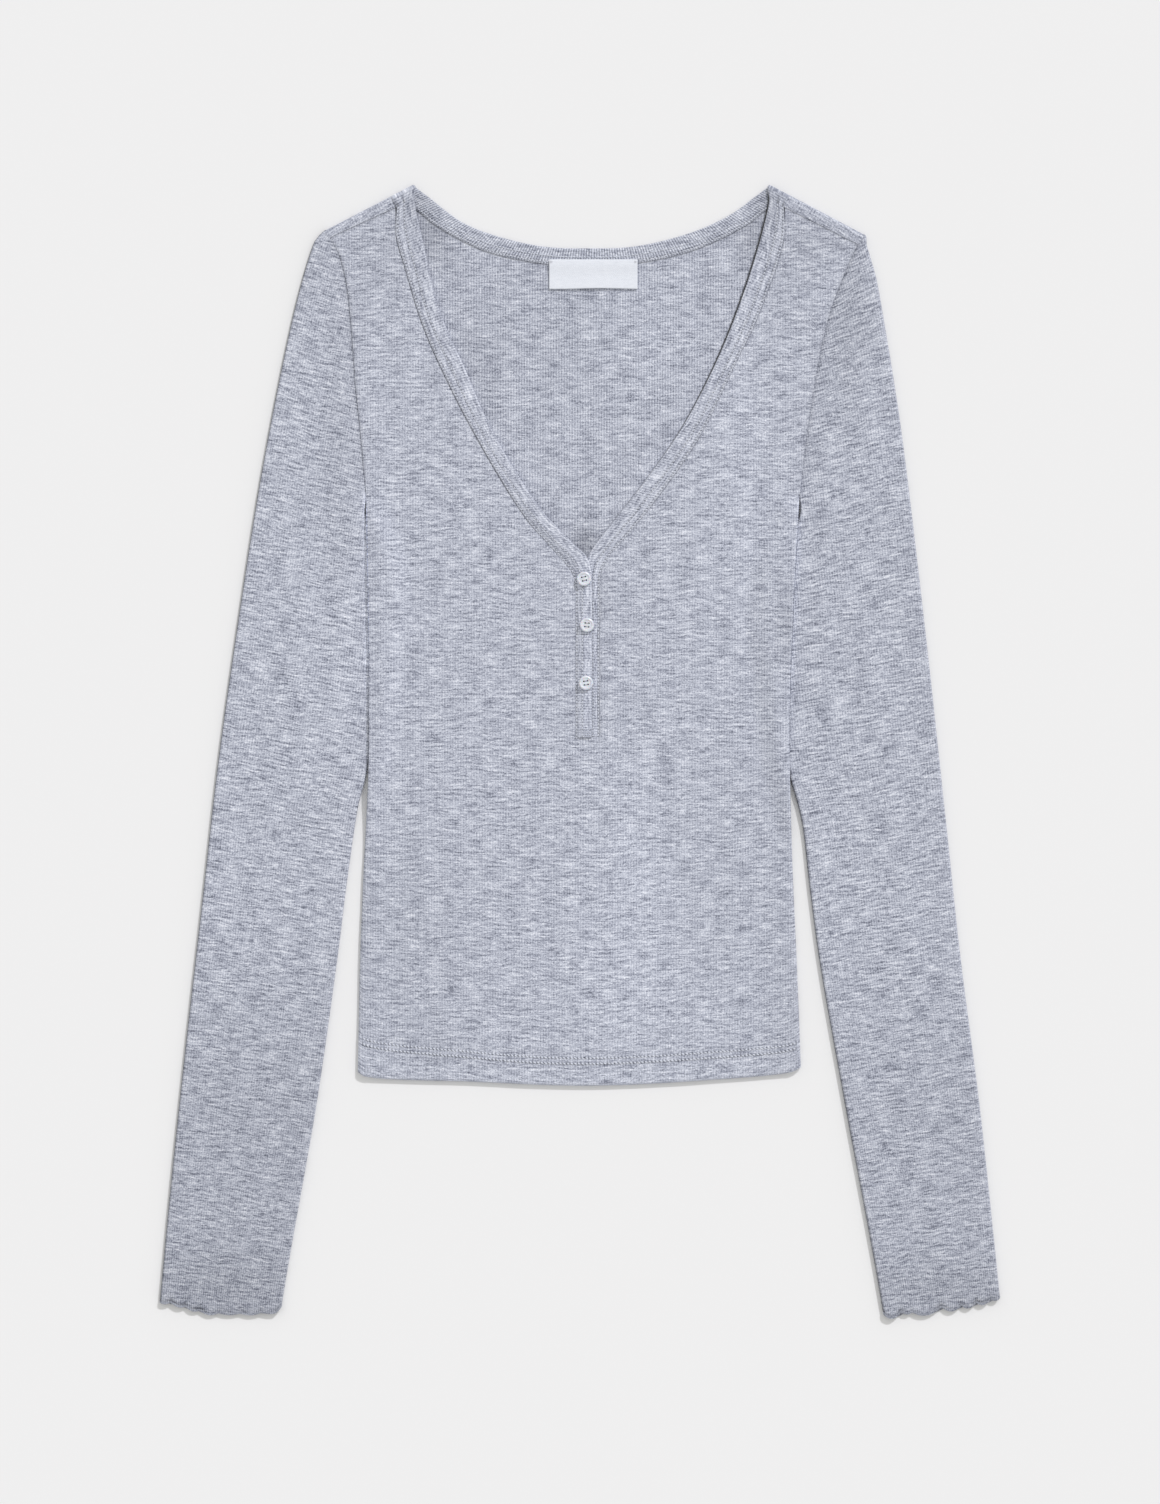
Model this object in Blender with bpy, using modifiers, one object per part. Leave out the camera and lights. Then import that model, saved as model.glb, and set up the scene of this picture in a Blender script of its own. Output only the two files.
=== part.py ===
"""A long-sleeved henley shirt in fine rib knit, laid flat on its back with its sleeves beside it.

X runs to the wearer's left, Y up the body and Z away from the surface that the shirt lies on.
Sizes are in millimetres until a mesh is made. Each cut or sewn piece is its own closed solid:
front, back, two sleeves, one binding strip round the neck and down the slit, three buttons and
a label. "right" and "left" are the wearer's.
"""

import math

import bmesh
import bpy
import numpy as np
from mathutils import Vector

MM = 0.001
SIDES = ("right", "left")
INWARDS = {"right": 1.0, "left": -1.0}  # the way to the middle of the body, along X

# ---- Cloth, and how it lies ----

CLOTH = 1.2  # wall of the rib knit
SEAM_GAP = 0.3  # what parts two pieces at a seam
FOLD_RADIUS = 1.8  # outer radius of a folded edge
FOLD_HEIGHT = 2 * FOLD_RADIUS  # both layers at a folded edge
LAID_HEIGHT = 2.8  # both layers away from the edges
PUFF = 24.0  # a folded edge settles to the laid height over this width
SHOULDER_PUFF = 32.0
# The body's side edge from the outside in, as (inward, drop): rolled to the side seam, or flat
CURL_BELOW = (3.0, 22.0)  # how far below the underarm the roll begins and is full
ROLLED_EDGE = ((0.0, 1.6), (0.0, 1.25), (0.53, 0.38), (FOLD_RADIUS, 0.0))
FLAT_EDGE = ((0.0, 0.0), (0.4, 0.0), (1.5, 0.0), (2.9, 0.0))
ROLL_STEPS = len(ROLLED_EDGE) - 1
UPRIGHT_CURL = 0.6  # the edge stands upright from this much curl

# Below the underarm the body lies over the inner edge of each sleeve
LIFT = FOLD_HEIGHT + SEAM_GAP
LIFT_SLOPE = 16.0
LIFT_LEDGE = 1.5  # the body stays lifted this far past the sleeve's edge
LIFT_TOP = (159.0, 147.0)  # heights between which the lift begins
LIFT_FOOT = {"right": (-22.0, -62.0), "left": (-34.0, -76.0)}  # and dies away

# ---- Plan of the shirt, as (x, y) points from the top down ----

NECK_POINT = {"right": (-102.3, 352.2), "left": (117.8, 352.2)}
SHOULDER_POINT = {"right": (-157.0, 323.8), "left": (176.4, 321.2)}
UNDERARM = {"right": (-132.1, 161.2), "left": (136.8, 159.0)}
STRIP_CORNER = {"right": (-116.6, 344.8), "left": (130.8, 345.3)}  # binding's seam, on the fold
SEAM_AT_NECK = {"right": 8.0, "left": 8.6}  # the shoulder seam lies this far down the front
SEAM_AT_ARM = {"right": 5.6, "left": 7.6}
ARMHOLE_START = 8.0  # the armhole leaves the fold squarely for this length

ARMHOLE_POINTS = {
    "right": ((-150.2, 311.5), (-147.3, 303.8), (-144.2, 290.3), (-141.4, 266.0),
              (-138.3, 224.4), (-135.8, 200.9)),
    "left": ((170.2, 309.5), (167.3, 303.0), (163.1, 293.0), (156.3, 274.5), (151.0, 255.0),
             (147.4, 236.0), (140.7, 193.4)),
}
SIDE_POINTS = {
    "right": ((-130.8, 94.2), (-130.2, 32.2), (-130.8, -17.4), (-133.9, -79.4), (-135.8, -129.0)),
    "left": ((134.5, 119.0), (130.8, 32.2), (130.8, -17.4), (132.7, -79.4), (135.0, -129.0)),
}
HEM = ((-137.2, -198.4), (-132.6, -201.2), (-65.7, -204.6), (6.2, -207.1), (73.8, -204.0),
       (132.0, -198.4), (137.6, -195.6))
HEM_DEPTH = 16.0
HEM_STEP = 0.35  # the folded hem stands this much higher
HEM_STEP_WIDTH = 1.2

SLEEVE_OUTER = {
    "right": ((-164.0, 317.0), (-167.4, 307.6), (-174.5, 282.7), (-183.5, 243.0),
              (-197.8, 168.6), (-209.6, 94.2), (-223.8, -5.0), (-233.7, -91.8),
              (-243.7, -178.6), (-253.6, -271.6), (-260.1, -340.6)),
    "left": ((178.4, 314.6), (180.4, 307.6), (184.1, 295.1), (189.1, 267.8), (199.0, 205.8),
             (208.3, 131.4), (218.2, 44.6), (228.8, -54.6), (236.8, -129.0), (248.0, -215.8),
             (256.1, -290.2), (261.0, -337.6)),
}
SLEEVE_INNER = {
    "right": ((-132.2, 147.0), (-121.6, 119.0), (-119.0, 94.2), (-121.5, 57.0), (-126.2, 19.8),
              (-132.6, -17.4), (-136.6, -32.0), (-143.8, -79.4), (-150.0, -129.0),
              (-162.4, -215.8), (-179.8, -315.0), (-184.3, -342.4)),
    "left": ((136.7, 147.0), (123.4, 119.0), (119.7, 94.2), (121.5, 57.0), (125.4, 19.8),
             (129.8, -12.0), (135.2, -31.0), (138.6, -46.0), (143.0, -84.0), (149.0, -129.0),
             (164.4, -215.8), (182.9, -315.0), (188.6, -348.0)),
}

# The neckline's seam on the front, and the binding's free edge, down to the foot of the slit
SLIT_FOOT = 9.3
KNEE = 103.0  # below this height the strip's two ends run straight down
NECK_SEAM = {
    "right": ((-113.5, 321.8), (-107.9, 300.7), (-97.3, 266.0), (-81.8, 230.6), (-60.1, 189.1),
              (-32.2, 143.8), (-20.5, 130.2), (-9.5, 117.9), (-4.4, 111.0), (-2.4, KNEE),
              (-2.2, 94.0), (-2.2, SLIT_FOOT)),
    "left": ((127.1, 321.2), (124.6, 308.1), (109.7, 267.2), (97.3, 241.8), (76.0, 197.6),
             (52.1, 162.4), (31.4, 136.1), (19.5, 122.4), (14.2, 113.0), (12.8, KNEE),
             (12.7, 94.0), (12.7, SLIT_FOOT)),
}
FREE_FRONT = {
    "right": ((-101.7, 341.0), (-97.3, 319.6), (-85.8, 272.2), (-70.1, 236.8), (-54.6, 200.9),
              (-24.2, 151.3), (-11.8, 137.6), (-2.5, 128.3), (4.6, 121.3), (7.6, 113.0),
              (8.1, KNEE), (8.1, 94.0), (8.1, SLIT_FOOT)),
    "left": ((117.8, 343.9), (114.7, 327.4), (103.5, 289.5), (87.4, 247.4), (65.4, 204.0),
             (42.2, 169.9), (21.7, 143.8), (11.8, 130.8), (5.2, 120.6), (3.0, 113.0),
             (2.6, KNEE), (2.6, 94.0), (2.6, SLIT_FOOT)),
}
# The back neck, from the wearer's right to the left
FREE_BACK = ((-92.4, 343.5), (-83.1, 336.0), (-72.5, 328.6), (-54.6, 321.2), (-22.9, 313.7),
             (5.6, 312.5), (34.7, 313.7), (66.3, 321.2), (84.9, 328.6), (98.0, 336.0),
             (107.9, 343.5))
SEAM_BACK = ((-99.4, 335.2), (-89.6, 327.3), (-58.5, 311.0), (-20.0, 302.8), (5.6, 301.6),
             (32.0, 302.8), (69.8, 310.9), (103.9, 326.8), (114.8, 335.1))

# ---- Binding: a folded strip, thinner where its two ends cross at the slit ----

STRIP = 2.0
STRIP_AT_SLIT = 1.2
STRIP_THINS = (168.0, 131.0)  # heights between which it thins
STRIP_REST = 1.6  # its underside on the front, clear of the back panel
STRIP_RADIUS = 2.3  # outer radius where it goes over the shoulder fold
STRIP_SETTLES = 45.0  # and the length over which it comes down from there
STRIP_OVER_SLIT = 3.1  # underside of the upper end, where it lies over the lower one
STRIP_CLIMBS = (176.0, 131.0)
STRIP_WIDTHS = (0.0, 0.2, 0.4, 0.7, 1.0)  # shares of its width, from seam to free edge
STRIP_RAMP = 0.4  # the upper end climbs over this share of its width
STRIP_BULGE = 0.45  # the free edge is rounded by this share of the thickness
EDGE_ROLL = 1.1  # the wearer's left edge stands this far off the body
EDGE_ROLL_HEIGHTS = (345.0, 280.0, 175.0, 137.0)  # where the roll begins, is full, and ends
STRIP_FOLD_STEPS = 4

# ---- Rows and columns of the cloth ----

ARMHOLE_SECOND = ARMHOLE_START + 1.2  # the sleeve's second row
ARMHOLE_ROWS = (12.0, 16.5, 22.0, 31.0, 43.0, 60.0, 82.0, 106.0, 130.0, 150.0)
FRONT_ROWS = (151.0, 142.0, 134.0, 127.0, 121.0, 115.5, 110.0, KNEE, 94.0, 76.0, 58.0, 40.0,
              24.0, SLIT_FOOT, -14.0, -38.0, -62.0, -88.0, -114.0, -140.0, -164.0)
ROWS_TO_SLIT = FRONT_ROWS.index(SLIT_FOOT) + 1
BACK_ROWS = (151.0, 142.0, 134.0, 127.0, 121.0, KNEE, 76.0, 40.0, SLIT_FOOT, -14.0, -38.0,
             -62.0, -88.0, -125.0, -164.0)
HEM_ROWS = (HEM_DEPTH + HEM_STEP_WIDTH, HEM_DEPTH, 0.0)  # rises above the hem's edge
FRONT_SHARES = (0.03, 0.065, 0.105, 0.15, 0.21, 0.33, 0.53, 0.76, 1.0)
BACK_EDGE_SHARES = FRONT_SHARES[:5]  # the back's edge columns lie under the front's
BACK_BLEND = 150.0  # the back's rows and columns straighten over this height
NECK_COLUMNS = 14
SHOULDER_COLUMNS = 4
WRAP_STEPS = 5

SLEEVE_CORNER = 1.6  # the sleeve's fold turns downwards this far past the armhole
ROW_TILT = 10.0  # a sleeve row's outer end lies this much higher
TILT_FADES = 150.0  # and no higher at the cuff, fading over this height
SLEEVE_ROWS = (147.0, 128.0, 104.0, 78.0, 50.0, 20.0, -8.0, -30.0, -54.0, -88.0, -126.0, -166.0,
               -208.0, -250.0, -290.0)
SLEEVE_SHARES = (0.0, 0.13, 0.32, 0.5, 0.68, 0.87, 1.0)  # columns of each layer, outer fold first
CUFF_LENGTH = 16.0
CUFF_SHARES = (0.4, 0.75, 1.0)  # rows of the ruffled edge
CUFF_PARTS = 5  # each column of the sleeve is cut into this many there

# ---- The ruffled cuffs ----

WAVES = {"right": 6, "left": 7}
WAVE_RISE = {"upper": 1.6, "under": 0.9}
WAVE_REACH = {"right": 0.7, "left": 1.6}
WAVE_DRIFT = 0.22  # makes the waves uneven in width
WAVE_DRIFT_TURNS = 1.7
WAVE_DRIFT_START = 0.8
WAVE_GROWTH = 1.5  # the waves rise steeply towards the edge
WAVE_ENDS = 0.06  # they die away over this share of the width at each fold
# How much lower the cuff's edge lies, by share of the way from the outer fold to the inner one
CUFF_BOW = {
    "right": ((0.0, 0.0), (0.13, 0.8), (0.27, 3.9), (0.41, 5.6), (0.73, 5.2), (0.94, 3.8),
              (1.0, 0.0)),
    "left": ((0.0, 0.0), (0.1, 1.4), (0.3, 2.4), (0.6, 2.0), (0.9, 1.6), (1.0, 0.0)),
}

# Broad soft folds, as (x, y, half length, half width, lean in degrees, height)
FRONT_FOLDS = (
    (38.0, -95.0, 90.0, 13.0, 15.0, 0.75),
    (88.0, 190.0, 105.0, 16.0, 10.0, 0.65),
    (-72.0, 60.0, 95.0, 15.0, -8.0, 0.5),
    (-25.0, -150.0, 52.0, 12.0, -12.0, 0.45),
    (98.0, -40.0, 80.0, 12.0, -6.0, 0.45),
)
SLEEVE_FOLDS = {
    "right": ((-178.0, 205.0, 60.0, 12.0, -12.0, 0.6), (-185.0, 10.0, 75.0, 13.0, -14.0, 0.55),
              (-215.0, -170.0, 60.0, 12.0, -8.0, 0.5), (-205.0, -285.0, 34.0, 9.0, -16.0, 0.45)),
    "left": ((182.0, 200.0, 60.0, 12.0, 14.0, 0.6), (192.0, 0.0, 75.0, 13.0, 10.0, 0.55),
             (214.0, -150.0, 60.0, 12.0, 12.0, 0.5), (222.0, -292.0, 30.0, 9.0, 12.0, 0.45)),
}

# ---- Buttons and label ----

BUTTON_CENTRES = ((3.1, 107.3), (4.9, 78.7), (4.3, 42.8))
BUTTON_RADIUS = 4.45
BUTTON_HEIGHT = 2.0
BUTTON_DISH = 0.55  # the middle lies this much below the rim
# The rim's section as (distance in from the outer edge, height)
BUTTON_RIM = ((1.8, BUTTON_HEIGHT - BUTTON_DISH), (1.3, BUTTON_HEIGHT - 0.15),
              (0.75, BUTTON_HEIGHT), (0.25, BUTTON_HEIGHT - 0.25), (0.0, 1.0), (0.2, 0.35),
              (0.65, 0.0))
BUTTON_TURNS = (14.0, -3.0, 8.0)  # how far each is turned, in degrees
BUTTON_SIDES = 28
HOLE_RADIUS = 0.55
HOLE_RING = 1.63  # from the button's middle to each hole's
HOLE_SIDES = 10
BUTTON_SEAT = STRIP_OVER_SLIT + STRIP_AT_SLIT + SEAM_GAP

LABEL_X = (-18.6, 36.3)
LABEL_TOP = 305.5
LABEL_LENGTH = 18.2
LABEL_WALL = 1.0
LABEL_COLUMNS = 4
LABEL_ROWS = (0.0, 0.21, 0.38, 0.58, 0.8, 1.0)  # shares of its length, from the top
LABEL_HEIGHTS = (3.3, 3.3, 2.85, 2.5, 2.5, 2.5)  # it comes down from the binding to the panel

COLOURS = {
    "rib_knit": ((0.45, 0.47, 0.54), 0.9),
    "button_plastic": ((0.72, 0.73, 0.76), 0.35),
    "label_weave": ((0.86, 0.87, 0.92), 0.7),
}


# ---- Plan geometry ----


def along(a, b, share):
    """The point a share of the way from a to b."""
    return a[0] + (b[0] - a[0]) * share, a[1] + (b[1] - a[1]) * share


def unit(a, b):
    """The direction from a to b, of length one."""
    size = math.dist(a, b)
    return (b[0] - a[0]) / size, (b[1] - a[1]) / size


def moved(point, direction, distance):
    return point[0] + direction[0] * distance, point[1] + direction[1] * distance


def ease(value):
    """0 below 0, 1 above 1, and smooth between."""
    value = min(1.0, max(0.0, value))
    return value * value * (3 - 2 * value)


def between(value, start, end):
    """Goes smoothly from 0 at start to 1 at end."""
    return ease((value - start) / (end - start))


class Curve:
    """A smooth plan curve through a few points, read by distance, share of length or height."""

    SAMPLES = 14

    def __init__(self, points):
        knots = np.array(points, float)
        ends = 2 * knots[[0, -1]] - knots[[1, -2]]
        knots = np.vstack([ends[:1], knots, ends[1:]])
        samples = [knots[1]]
        for four in zip(knots, knots[1:], knots[2:], knots[3:]):
            samples.extend(self.span(*four))
        self.points = np.array(samples)
        steps = np.linalg.norm(np.diff(self.points, axis=0), axis=1)
        self.distances = np.concatenate([[0.0], np.cumsum(steps)])
        self.length = float(self.distances[-1])

    def span(self, a, b, c, d):
        """Points from b to c on the centripetal Catmull-Rom curve."""
        t1 = math.sqrt(np.linalg.norm(b - a))
        t2 = t1 + math.sqrt(np.linalg.norm(c - b))
        t3 = t2 + math.sqrt(np.linalg.norm(d - c))
        for t in np.linspace(t1, t2, self.SAMPLES + 1)[1:]:
            ab = a + (b - a) * t / t1
            bc = b + (c - b) * (t - t1) / (t2 - t1)
            cd = c + (d - c) * (t - t2) / (t3 - t2)
            abc = ab + (bc - ab) * t / t2
            bcd = bc + (cd - bc) * (t - t1) / (t3 - t1)
            yield abc + (bcd - abc) * (t - t1) / (t2 - t1)

    def at(self, distance):
        x = np.interp(distance, self.distances, self.points[:, 0])
        y = np.interp(distance, self.distances, self.points[:, 1])
        return float(x), float(y)

    def at_share(self, share):
        return self.at(share * self.length)

    def distance_at_height(self, y):
        """How far along a curve that runs downwards it passes the height y."""
        return float(np.interp(-y, -self.points[:, 1], self.distances))

    def at_height(self, y):
        return self.at(self.distance_at_height(y))

    def beside(self, distance, offset):
        """The point beside the curve, offset to the left of its direction."""
        step = 0.5
        x, y = unit(self.at(max(0.0, distance - step)), self.at(min(self.length, distance + step)))
        return moved(self.at(distance), (-y, x), offset)


def fold_normal(side):
    """The direction across the shoulder fold, out of the garment."""
    x, y = unit(NECK_POINT[side], SHOULDER_POINT[side])
    return y * INWARDS[side], -x * INWARDS[side]


def below_fold(side, point, distance):
    return moved(point, fold_normal(side), -distance)


def armhole_curve(side):
    top = SHOULDER_POINT[side]
    start = tuple(below_fold(side, top, ARMHOLE_START * share) for share in (0.0, 0.5, 1.0))
    return Curve(start + ARMHOLE_POINTS[side] + (UNDERARM[side],))


def side_curve(side):
    corner = HEM[0] if side == "right" else HEM[-1]
    return Curve((UNDERARM[side],) + SIDE_POINTS[side] + (corner,))


def neck_curve(side):
    seam_end = below_fold(side, STRIP_CORNER[side], SEAM_AT_NECK[side])
    return Curve((seam_end,) + NECK_SEAM[side])


def free_curve(side):
    start = below_fold(side, NECK_POINT[side], STRIP_RADIUS)
    return Curve((start,) + FREE_FRONT[side])


def outer_curve(side):
    """The sleeve's outer fold, which first goes on along the shoulder's."""
    outwards = unit(NECK_POINT[side], SHOULDER_POINT[side])
    start = tuple(moved(SHOULDER_POINT[side], outwards, SEAM_GAP / 2 + step)
                  for step in (0.0, SLEEVE_CORNER))
    return Curve(start + SLEEVE_OUTER[side])


ARMHOLE = {side: armhole_curve(side) for side in SIDES}
BODY_SIDE = {side: side_curve(side) for side in SIDES}
NECK = {side: neck_curve(side) for side in SIDES}
FREE = {side: free_curve(side) for side in SIDES}
INNER = {side: Curve((UNDERARM[side],) + SLEEVE_INNER[side]) for side in SIDES}
OUTER = {side: outer_curve(side) for side in SIDES}
HEM_LINE = Curve(HEM)


def hem_height(x):
    """The height of the hem's edge at x."""
    return float(np.interp(x, HEM_LINE.points[:, 0], HEM_LINE.points[:, 1]))


def lift(x, y):
    """How far the body is lifted where it lies over a sleeve."""
    found = 0.0
    for side in SIDES:
        hold, foot = LIFT_FOOT[side]
        by_height = between(y, *LIFT_TOP) * between(y, foot, hold)
        if by_height > 0.0:
            past = (x - INNER[side].at_height(y)[0]) * INWARDS[side] - LIFT_LEDGE
            found = max(found, LIFT * by_height * ease(1 - past / LIFT_SLOPE))
    return found


def fold_relief(x, y, folds):
    """The height that the broad soft folds add at a point."""
    total = 0.0
    for centre_x, centre_y, half_length, half_width, lean, height in folds:
        angle = math.radians(lean)
        dx, dy = x - centre_x, y - centre_y
        down = dy * math.cos(angle) - dx * math.sin(angle)
        across = dx * math.cos(angle) + dy * math.sin(angle)
        total += height * math.exp(-((down / half_length) ** 2) - (across / half_width) ** 2)
    return total


# ---- Making objects ----


def material(name):
    """A plain Principled BSDF in the piece's colour."""
    found = bpy.data.materials.get(name)
    if found is None:
        colour, roughness = COLOURS[name]
        found = bpy.data.materials.new(name)
        found.use_nodes = True
        shader = found.node_tree.nodes["Principled BSDF"]
        shader.inputs["Base Color"].default_value = (*colour, 1.0)
        shader.inputs["Roughness"].default_value = roughness
        shader.inputs["Metallic"].default_value = 0.0
    return found


def add_object(name, mesh, collection, finish):
    piece = bpy.data.objects.new(name, mesh)
    collection.objects.link(piece)
    mesh.materials.append(material(finish))
    mesh.shade_smooth()
    mesh.set_sharp_from_angle(angle=math.radians(40))
    return piece


def mesh_of(name, points, faces):
    """A mesh from a dictionary of points in millimetres, and faces that name its keys."""
    shape = bmesh.new()
    made = {key: shape.verts.new(Vector(point) * MM) for key, point in points.items()}
    for face in faces:
        shape.faces.new([made[key] for key in face])
    mesh = bpy.data.meshes.new(name)
    shape.to_mesh(mesh)
    shape.free()
    return mesh


def cloth_wall(name, points, faces, collection, finish="rib_knit", wall=CLOTH):
    """A cloth piece: its outer surface, thickened inwards to one closed wall."""
    piece = add_object(name, mesh_of(name, points, faces), collection, finish)
    solidify = piece.modifiers.new("wall", "SOLIDIFY")
    solidify.thickness = wall * MM
    solidify.offset = -1.0
    solidify.use_even_offset = True
    return piece


def grid_faces(rows, columns, keep=None):
    """Quads between neighbouring keys (row, column), facing +Z where rows run down."""
    faces = []
    for row in range(rows - 1):
        for column in range(columns - 1):
            if keep is None or keep(row, column):
                below = row + 1
                beside = column + 1
                faces.append(((row, column), (below, column), (below, beside), (row, beside)))
    return faces


def flipped(faces):
    return [tuple(reversed(face)) for face in faces]


# ---- The side edges of the body, rolled where front and back meet ----

def roll(curl):
    """Places of the edge's columns as (inward, drop), and the reach of the roll.

    With a curl of 0 the edge lies flat, and with 1 it turns to half the fold's height.
    """
    upright = min(1.0, curl / UPRIGHT_CURL)
    places = []
    for (flat, _), (rolled, drop) in zip(FLAT_EDGE, ROLLED_EDGE):
        places.append((flat + (rolled - flat) * upright, drop * curl))
    return places[:-1], places[-1][0]


def curl_at(side, y):
    """How far the body's edge is rolled: not at the armhole, and fully a little below it."""
    return between(y, *(UNDERARM[side][1] - below for below in CURL_BELOW))


def armhole_distances(side):
    """Stations along the armhole, from the shoulder seam to the underarm."""
    return (SEAM_AT_ARM[side],) + ARMHOLE_ROWS + (ARMHOLE[side].length,)


def armhole_edge(side, distance):
    """The body's edge at the armhole, half a seam gap inside the seam line."""
    return ARMHOLE[side].beside(distance, INWARDS[side] * SEAM_GAP / 2)


def body_edge(side, y):
    return BODY_SIDE[side].at_height(y)


def rolled_row(edge, inner, shares, curl):
    """(plan point, drop) of each column of a row, from a side edge to its inner end."""
    width = math.dist(edge, inner)
    direction = unit(edge, inner)
    places, reach = roll(curl)
    row = [(moved(edge, direction, inward), drop) for inward, drop in places]
    for share in (0.0,) + shares:
        row.append((moved(edge, direction, reach + (width - reach) * share), 0.0))
    return row


# ---- Front panel ----


def front_rows(side):
    """(edge, inner end, curl, distance below the shoulder seam, rise above the hem) of each row."""
    rows = []
    seam = NECK[side]
    stations = armhole_distances(side)
    for distance in stations:
        share = (distance - stations[0]) / (stations[-1] - stations[0])
        inner = seam.at_height(along(seam.points[0], UNDERARM[side], share)[1])
        edge = armhole_edge(side, distance)
        rows.append((edge, inner, curl_at(side, edge[1]), distance - stations[0], None))
    for height in FRONT_ROWS:
        inner = seam.at_height(height) if height > SLIT_FOOT else (seam.points[-1][0], height)
        rows.append((body_edge(side, height), inner, curl_at(side, height), stations[-1], None))
    corner = BODY_SIDE[side].points[-1]
    for rise in HEM_ROWS:
        edge = body_edge(side, corner[1] + rise)
        inner = (seam.points[-1][0], corner[1] + rise)
        rows.append((edge, inner, 1.0, stations[-1], rise))
    return rows


def front_height(point, from_edge, below_shoulder):
    """The height of the front's outer face at a plan point."""
    x, y = point
    beside, below = ease(from_edge / PUFF), ease(below_shoulder / SHOULDER_PUFF)
    height = FOLD_HEIGHT - (FOLD_HEIGHT - LAID_HEIGHT) * min(beside, below)
    height += fold_relief(x, y, FRONT_FOLDS) * beside * below
    height += HEM_STEP * between(y - hem_height(x), HEM_DEPTH + HEM_STEP_WIDTH, HEM_DEPTH)
    return height + lift(x, y)


def make_front(collection):
    """Two halves that share the cloth below the slit."""
    columns = ROLL_STEPS + 1 + len(FRONT_SHARES)
    points = {}
    for side in SIDES:
        rows = front_rows(side)
        for row, (edge, inner, curl, below_shoulder, rise) in enumerate(rows):
            for column, (place, drop) in enumerate(rolled_row(edge, inner, FRONT_SHARES, curl)):
                if row == 0:
                    place = below_fold(side, place, SEAM_GAP / 2)
                if rise is not None:
                    place = (place[0], hem_height(place[0]) + rise)
                height = front_height(place, math.dist(place, edge), below_shoulder) - drop
                key = (row, column if side == "right" else 2 * columns - 1 - column)
                points[key] = (*place, height)
    slit_row = len(armhole_distances("right")) + ROWS_TO_SLIT - 1
    faces = grid_faces(
        len(rows), 2 * columns, lambda row, column: column != columns - 1 or row >= slit_row
    )
    cloth_wall("front", points, faces, collection)


# ---- Back panel ----


def shoulder_places(side):
    """Points on the shoulder fold under the back's columns, from the armhole to the binding."""
    outwards = unit(NECK_POINT[side], SHOULDER_POINT[side])
    start = moved(SHOULDER_POINT[side], outwards, -SEAM_GAP / 2)
    end = moved(STRIP_CORNER[side], outwards, 2 * SEAM_GAP)
    places, reach = roll(0.0)
    distances = [inward for inward, _ in places]
    width = math.dist(start, end) - reach
    for column in range(SHOULDER_COLUMNS + 1):
        distances.append(reach + width * column / SHOULDER_COLUMNS)
    return [moved(start, unit(start, end), distance) for distance in distances]


def back_seam_curve():
    """The back neckline's seam, from one shoulder fold to the other."""
    first, last = (below_fold(side, shoulder_places(side)[-1], FOLD_RADIUS) for side in SIDES)
    return Curve((first,) + SEAM_BACK + (last,))


BACK_SEAM = back_seam_curve()


def back_top():
    """The top of the back's flat part: a shoulder, the neckline, the other shoulder."""
    right, left = (
        [below_fold(side, place, FOLD_RADIUS) for place in shoulder_places(side)] for side in SIDES
    )
    neck = [BACK_SEAM.at_share(step / NECK_COLUMNS) for step in range(1, NECK_COLUMNS)]
    return right + neck + left[::-1]


def back_edges(side):
    """(edge, curl) of each row of the back's side, below the shoulder fold."""
    edges = []
    for distance in armhole_distances(side):
        edge = armhole_edge(side, distance)
        edges.append((edge, curl_at(side, edge[1])))
    for height in BACK_ROWS:
        edges.append((body_edge(side, height), curl_at(side, height)))
    edges.append((HEM[0] if side == "right" else HEM[-1], 1.0))
    return edges


def low_shares(start, end, level):
    """Where the back's columns stand below the armhole, as shares of the flat width."""
    width = math.dist(start, end)
    under = min(UNDERARM["right"][1], max(SLIT_FOOT, level))
    neck_right, neck_left = (NECK[side].at_height(under)[0] for side in SIDES)
    right = [share * (neck_right - start[0]) / width for share in BACK_EDGE_SHARES]
    left = [1 - share * (end[0] - neck_left) / width for share in BACK_EDGE_SHARES]
    between_them = NECK_COLUMNS + 2 * (SHOULDER_COLUMNS - len(BACK_EDGE_SHARES)) + 1
    middle = np.linspace(right[-1], left[-1], between_them)[1:-1]
    return [0.0] + right + list(middle) + left[::-1] + [1.0]


def back_flat(start, end, top):
    """Plan points of the back's flat columns in the row from start to end."""
    first, last = top[0], top[-1]
    level = (start[1] + end[1]) / 2
    above = 1 - min(1.0, ((first[1] + last[1]) / 2 - level) / BACK_BLEND)
    places = []
    for high, low in zip(top, low_shares(start, end, level)):
        high_share = (high[0] - first[0]) / (last[0] - first[0])
        x, y = along(start, end, low + (high_share - low) * above ** 2)
        places.append((x, y + (high[1] - along(first, last, high_share)[1]) * above ** 2))
    return places


def hem_bow(x, level):
    """How far a row near the hem is moved up or down to follow its edge."""
    share = (x - HEM[0][0]) / (HEM[-1][0] - HEM[0][0])
    return (hem_height(x) - along(HEM[0], HEM[-1], share)[1]) * between(
        level, HEM[0][1] + BACK_BLEND, HEM[0][1])


def back_row(right, left, top):
    """(plan point, drop) of each column of a row of the back."""
    (start, curl), (end, other_curl) = right, left
    direction = unit(start, end)
    places, reach = roll(curl)
    other_places, other_reach = roll(other_curl)
    first, last = moved(start, direction, reach), moved(end, direction, -other_reach)
    row = [(moved(start, direction, inward), drop) for inward, drop in places]
    row += [(place, 0.0) for place in back_flat(first, last, top)]
    row += [(moved(end, direction, -inward), drop) for inward, drop in reversed(other_places)]
    return [((x, y + hem_bow(x, start[1])), drop) for (x, y), drop in row]


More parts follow.
